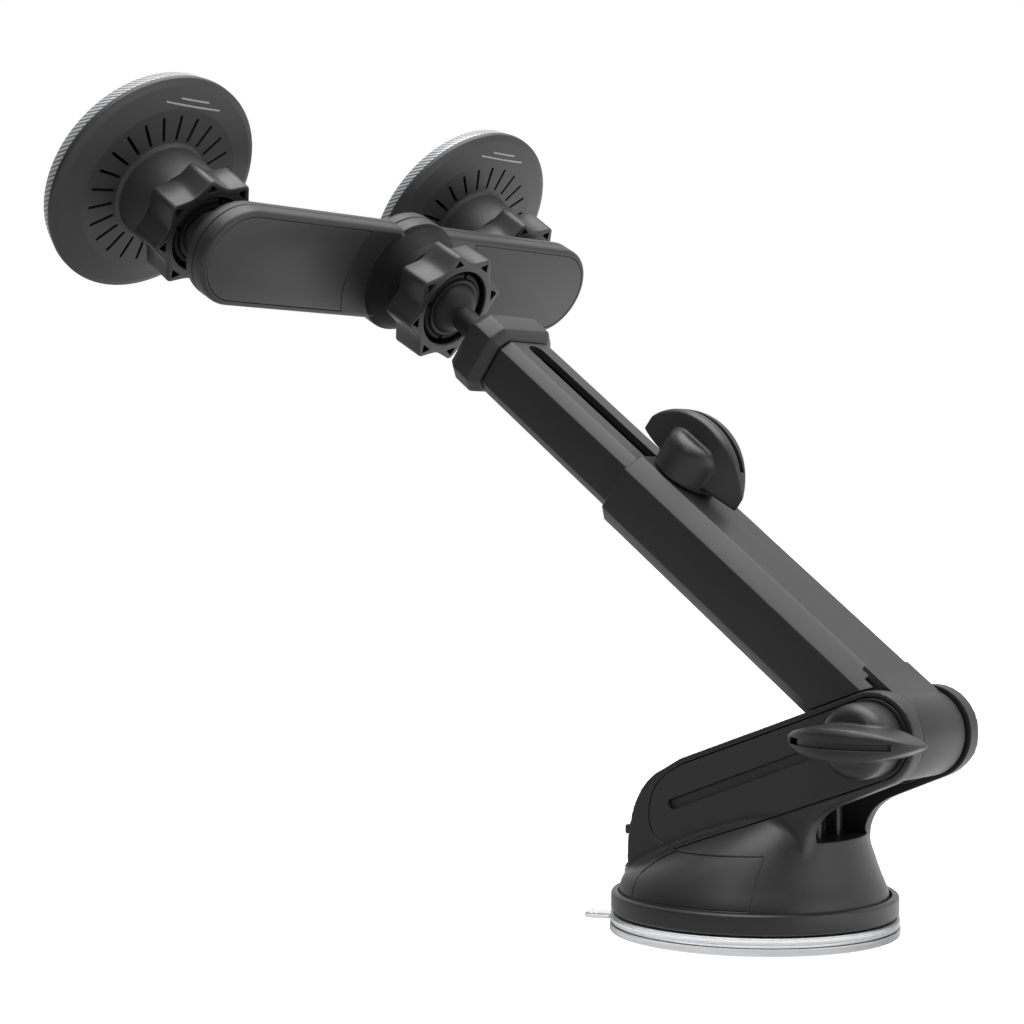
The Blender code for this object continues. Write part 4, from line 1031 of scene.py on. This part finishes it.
# ---- magnetic heads -----------------------------------------------------------------
def head(word):
    carrier, body = HEADS[word], word + "_head"
    inner_radius = HEAD_RADIUS - 2.4 * MM
    rim = HEAD_RIM
    profile = [
        (0.0, HUB_FLOOR), (HUB_BORE_RADIUS, HUB_FLOOR), (HUB_BORE_RADIUS, HUB_TOP),
        (HUB_RADIUS, HUB_TOP), (HUB_RADIUS, rim + 3.6 * MM), (13.9 * MM, rim + 2.7 * MM),
        (COVER_BREAK_RADIUS, rim + COVER_BREAK_RISE), (29.6 * MM, rim + 0.6 * MM),
        (HEAD_RADIUS, rim - 0.3 * MM), (HEAD_RADIUS, HEAD_SPLIT), (inner_radius, HEAD_SPLIT),
        (inner_radius, rim - 1.2 * MM), (22.5 * MM, rim + 0.4 * MM), (0.0, rim + 0.8 * MM)]
    radii = [value * MM for value in (0, 0.2, 0, 0.4, 0.5, 0.4, 4.0, 1.2, 0.6, 0.3, 0, 0, 0, 0)]
    cover = revolve(word + "_disc", rounded(profile, radii, 6, False), 160)
    vents = []
    half = 0.45 * MM
    for i in range(VENT_COUNT):
        turn = Matrix.Rotation(2 * math.pi * (i + 0.5) / VENT_COUNT, 2)
        corners = [(VENT_INNER, -half), (VENT_OUTER, -half), (VENT_OUTER, half),
                   (VENT_INNER, half)]
        corners = rounded([turn @ Vector(p) for p in corners], 0.4 * MM, 3)
        vents.append(prism("vent", corners, rim - 3 * MM, rim + 6 * MM))
    cut(cover, merged("vents", vents))
    show(cover, carrier, body, DISC, "matte_black", "back_cover_" + word)

    profile = [(BAND_INNER, HEAD_SPLIT - 0.2 * MM), (HEAD_RADIUS - 0.3 * MM,
               HEAD_SPLIT - 0.2 * MM), (BAND_FRONT_RADIUS, BAND_FRONT), (BAND_INNER, BAND_FRONT)]
    band = revolve(word + "_band", rounded(profile, (0, 0.2 * MM, 0.5 * MM, 0.1 * MM), 5), 192)
    show(band, carrier, body, WEAVE, "carbon_look", "rim_band_" + word)
    face = BAND_INNER - GAP
    profile = [(0.0, FACE_FRONT), (face, FACE_FRONT), (face, rim - 4.9 * MM),
               (0.0, rim - 4.9 * MM)]
    pad = revolve(word + "_face", rounded(profile, (0, 0.6 * MM, 0.1 * MM, 0), 5, False), 160)
    show(pad, carrier, body, PAD_FACE, "rubber_black", "face_pad_" + word)
    for number, (middle, half_length) in enumerate(((25.9, 4.8), (24.3, 9.2)), 1):
        line = hairline("%s_hairline_%d" % (word, number), middle * MM, half_length * MM)
        show(line, carrier, body, INK, None)


def hairline(name, middle, half_length):
    """Thin straight strip printed on the cover's sloping edge."""
    columns = 16
    sections = []
    half, proud, sunk = 0.22 * MM, 0.07 * MM, -0.2 * MM
    for i in range(columns + 1):
        x = half_length * (2.0 * i / columns - 1.0)
        section = []
        for y, raised in ((middle - half, proud), (middle + half, proud),
                          (middle + half, sunk), (middle - half, sunk)):
            beyond = math.hypot(x, y) - COVER_BREAK_RADIUS
            surface = HEAD_RIM + COVER_BREAK_RISE - COVER_SLOPE * beyond
            section.append((x, y, surface + raised))
        sections.append(section)
    return loft(name, sections)


# ---- assembly -----------------------------------------------------------------------
suction_pad()
rim_ring()
base_pieces()
wing_knob("hinge_wing", KNOB, "hinge_knob", 10.0 * MM, 4.4 * MM)
outer_tube()
wing_knob("clamp_wing", CLAMP, "clamp_knob", 11.0 * MM, 2.4 * MM)
inner_tube()
top_cap()
cap_top = CENTRE_BALL_AT - CAP_END
stud("centre_ball", STUD, "centre_stud", cap_top - 0.2 * MM, cap_top + 11 * MM, 5.2 * MM)
socket("centre", BAR, "centre_seat", "crossbar", "centre_nut")
crossbar()
bar_back = BAR_REAR - HEAD_BALL
for side in ("left", "right"):
    stud(side + "_ball", HEAD_STUDS[side], side + "_stud", bar_back - 0.2 * MM,
         bar_back + 4.0 * MM, 6.4 * MM)
    socket(side, HEADS[side], side + "_seat", side + "_head", side + "_nut")
    head(side)


# ---- floor, light and camera --------------------------------------------------------
BRIGHT_SIDE = (0.0, 0.75, 0.65)
SKY_DARK, SKY_BRIGHT = 0.03, 0.90
SKY_FROM, SKY_TO = -0.55, 0.85   # cosines to BRIGHT_SIDE between which the sky brightens
FLOOR_HALF = 6.0
GLOW_TOWARDS = (0.5, 0.87, 0.0)
GLOW_FROM, GLOW_TO = -0.06, 0.12
GLOW_MOST = 0.85
SOFTBOXES = (   # name, place, aim, size, watts
    ("overhead", (0.1, 0.0, 1.2), (-0.02, 0.0, 0.1), (1.2, 1.2), 19.0),
    ("right_side", (1.1, 0.05, 0.22), (0.0, 0.0, 0.10), (0.8, 0.6), 2.6),
    ("front_high", (0.15, -0.9, 0.75), (0.0, 0.0, 0.06), (0.25, 0.25), 1.3))
CAMERA_AT = (0.3263, -0.4791, 0.1038 + LIFT)
CAMERA_TURN = (40.14, 0.31, 0.12)   # azimuth, elevation and roll in degrees
CAMERA_LENS = 83.07


def floor():
    """White to the camera. As light it is dark in front and glows towards the back."""
    size = FLOOR_HALF
    plane = mesh_piece("floor", [(-size, -size, 0), (size, -size, 0), (size, size, 0),
                                 (-size, size, 0)], [[0, 1, 2, 3]])
    nodes = Nodes("pale_floor")
    nodes.set("Base Color", nodes.blend(nodes.noise(4.0), (0.42, 0.42, 0.42),
                                        (0.44, 0.44, 0.44)))
    nodes.set("Roughness", 0.9)
    nodes.set("Specular IOR Level", 0.1)
    ray = nodes.add("ShaderNodeLightPath").outputs
    seen = nodes.math("MAXIMUM", ray["Is Camera Ray"], ray["Is Transmission Ray"])
    behind = nodes.add("ShaderNodeVectorMath", {0: nodes.coords, 1: GLOW_TOWARDS},
                       operation="DOT_PRODUCT").outputs["Value"]
    glow = nodes.add("ShaderNodeMapRange", {
        "Value": behind, "From Min": GLOW_FROM, "From Max": GLOW_TO, "To Min": 0.0,
        "To Max": GLOW_MOST}, interpolation_type="SMOOTHSTEP").outputs["Result"]
    nodes.set("Emission Color", (1.0, 1.0, 1.0, 1.0))
    nodes.set("Emission Strength", nodes.math("MAXIMUM", seen, glow))
    plane.data.materials.append(nodes.material)
    plane.location.z = -0.02 * MM


def softbox(name, place, aim, size, power):
    light = bpy.data.lights.new(name, "AREA")
    light.shape = "RECTANGLE"
    light.size, light.size_y = size
    light.energy = power
    lamp = placed(name, light)
    lamp.location = place
    lamp.rotation_euler = (Vector(aim) - Vector(place)).to_track_quat("-Z", "Y").to_euler()


def sky():
    """White behind the object. As light it is bright from above and behind, dark in front."""
    world = bpy.data.worlds.new("studio")
    bpy.context.scene.world = world
    world.use_nodes = True
    nodes = NodeTree(world.node_tree)
    seen = nodes.add("ShaderNodeLightPath").outputs["Is Camera Ray"]
    facing = nodes.add("ShaderNodeVectorMath", {
        0: nodes.add("ShaderNodeTexCoord").outputs["Generated"],
        1: Vector(BRIGHT_SIDE).normalized()}, operation="DOT_PRODUCT").outputs["Value"]
    level = nodes.add("ShaderNodeMapRange", {
        "Value": facing, "From Min": SKY_FROM, "From Max": SKY_TO, "To Min": SKY_DARK,
        "To Max": SKY_BRIGHT}, interpolation_type="SMOOTHSTEP").outputs["Result"]
    strength = nodes.add("ShaderNodeMix", {"Factor": seen, "A": level, "B": 1.0})
    background = world.node_tree.nodes["Background"]
    world.node_tree.links.new(strength.outputs["Result"], background.inputs["Strength"])
    background.inputs["Color"].default_value = (1.0, 1.0, 1.0, 1.0)


def camera():
    data = bpy.data.cameras.new("camera")
    data.lens = CAMERA_LENS
    data.sensor_width = 36.0
    data.clip_start, data.clip_end = 0.01, 50.0
    result = placed("camera", data)
    azimuth, elevation, roll = (math.radians(v) for v in CAMERA_TURN)
    forward = Vector((-math.sin(azimuth) * math.cos(elevation),
                      math.cos(azimuth) * math.cos(elevation), -math.sin(elevation)))
    level = Vector((math.cos(azimuth), math.sin(azimuth), 0.0))
    up = level.cross(forward)
    right = math.cos(roll) * level + math.sin(roll) * up
    up = math.cos(roll) * up - math.sin(roll) * level
    matrix = Matrix((right, up, -forward)).transposed().to_4x4()
    matrix.translation = CAMERA_AT
    result.matrix_world = matrix
    bpy.context.scene.camera = result


floor()
for lamp_row in SOFTBOXES:
    softbox(*lamp_row)
sky()
camera()
bpy.context.scene.view_settings.view_transform = "Standard"
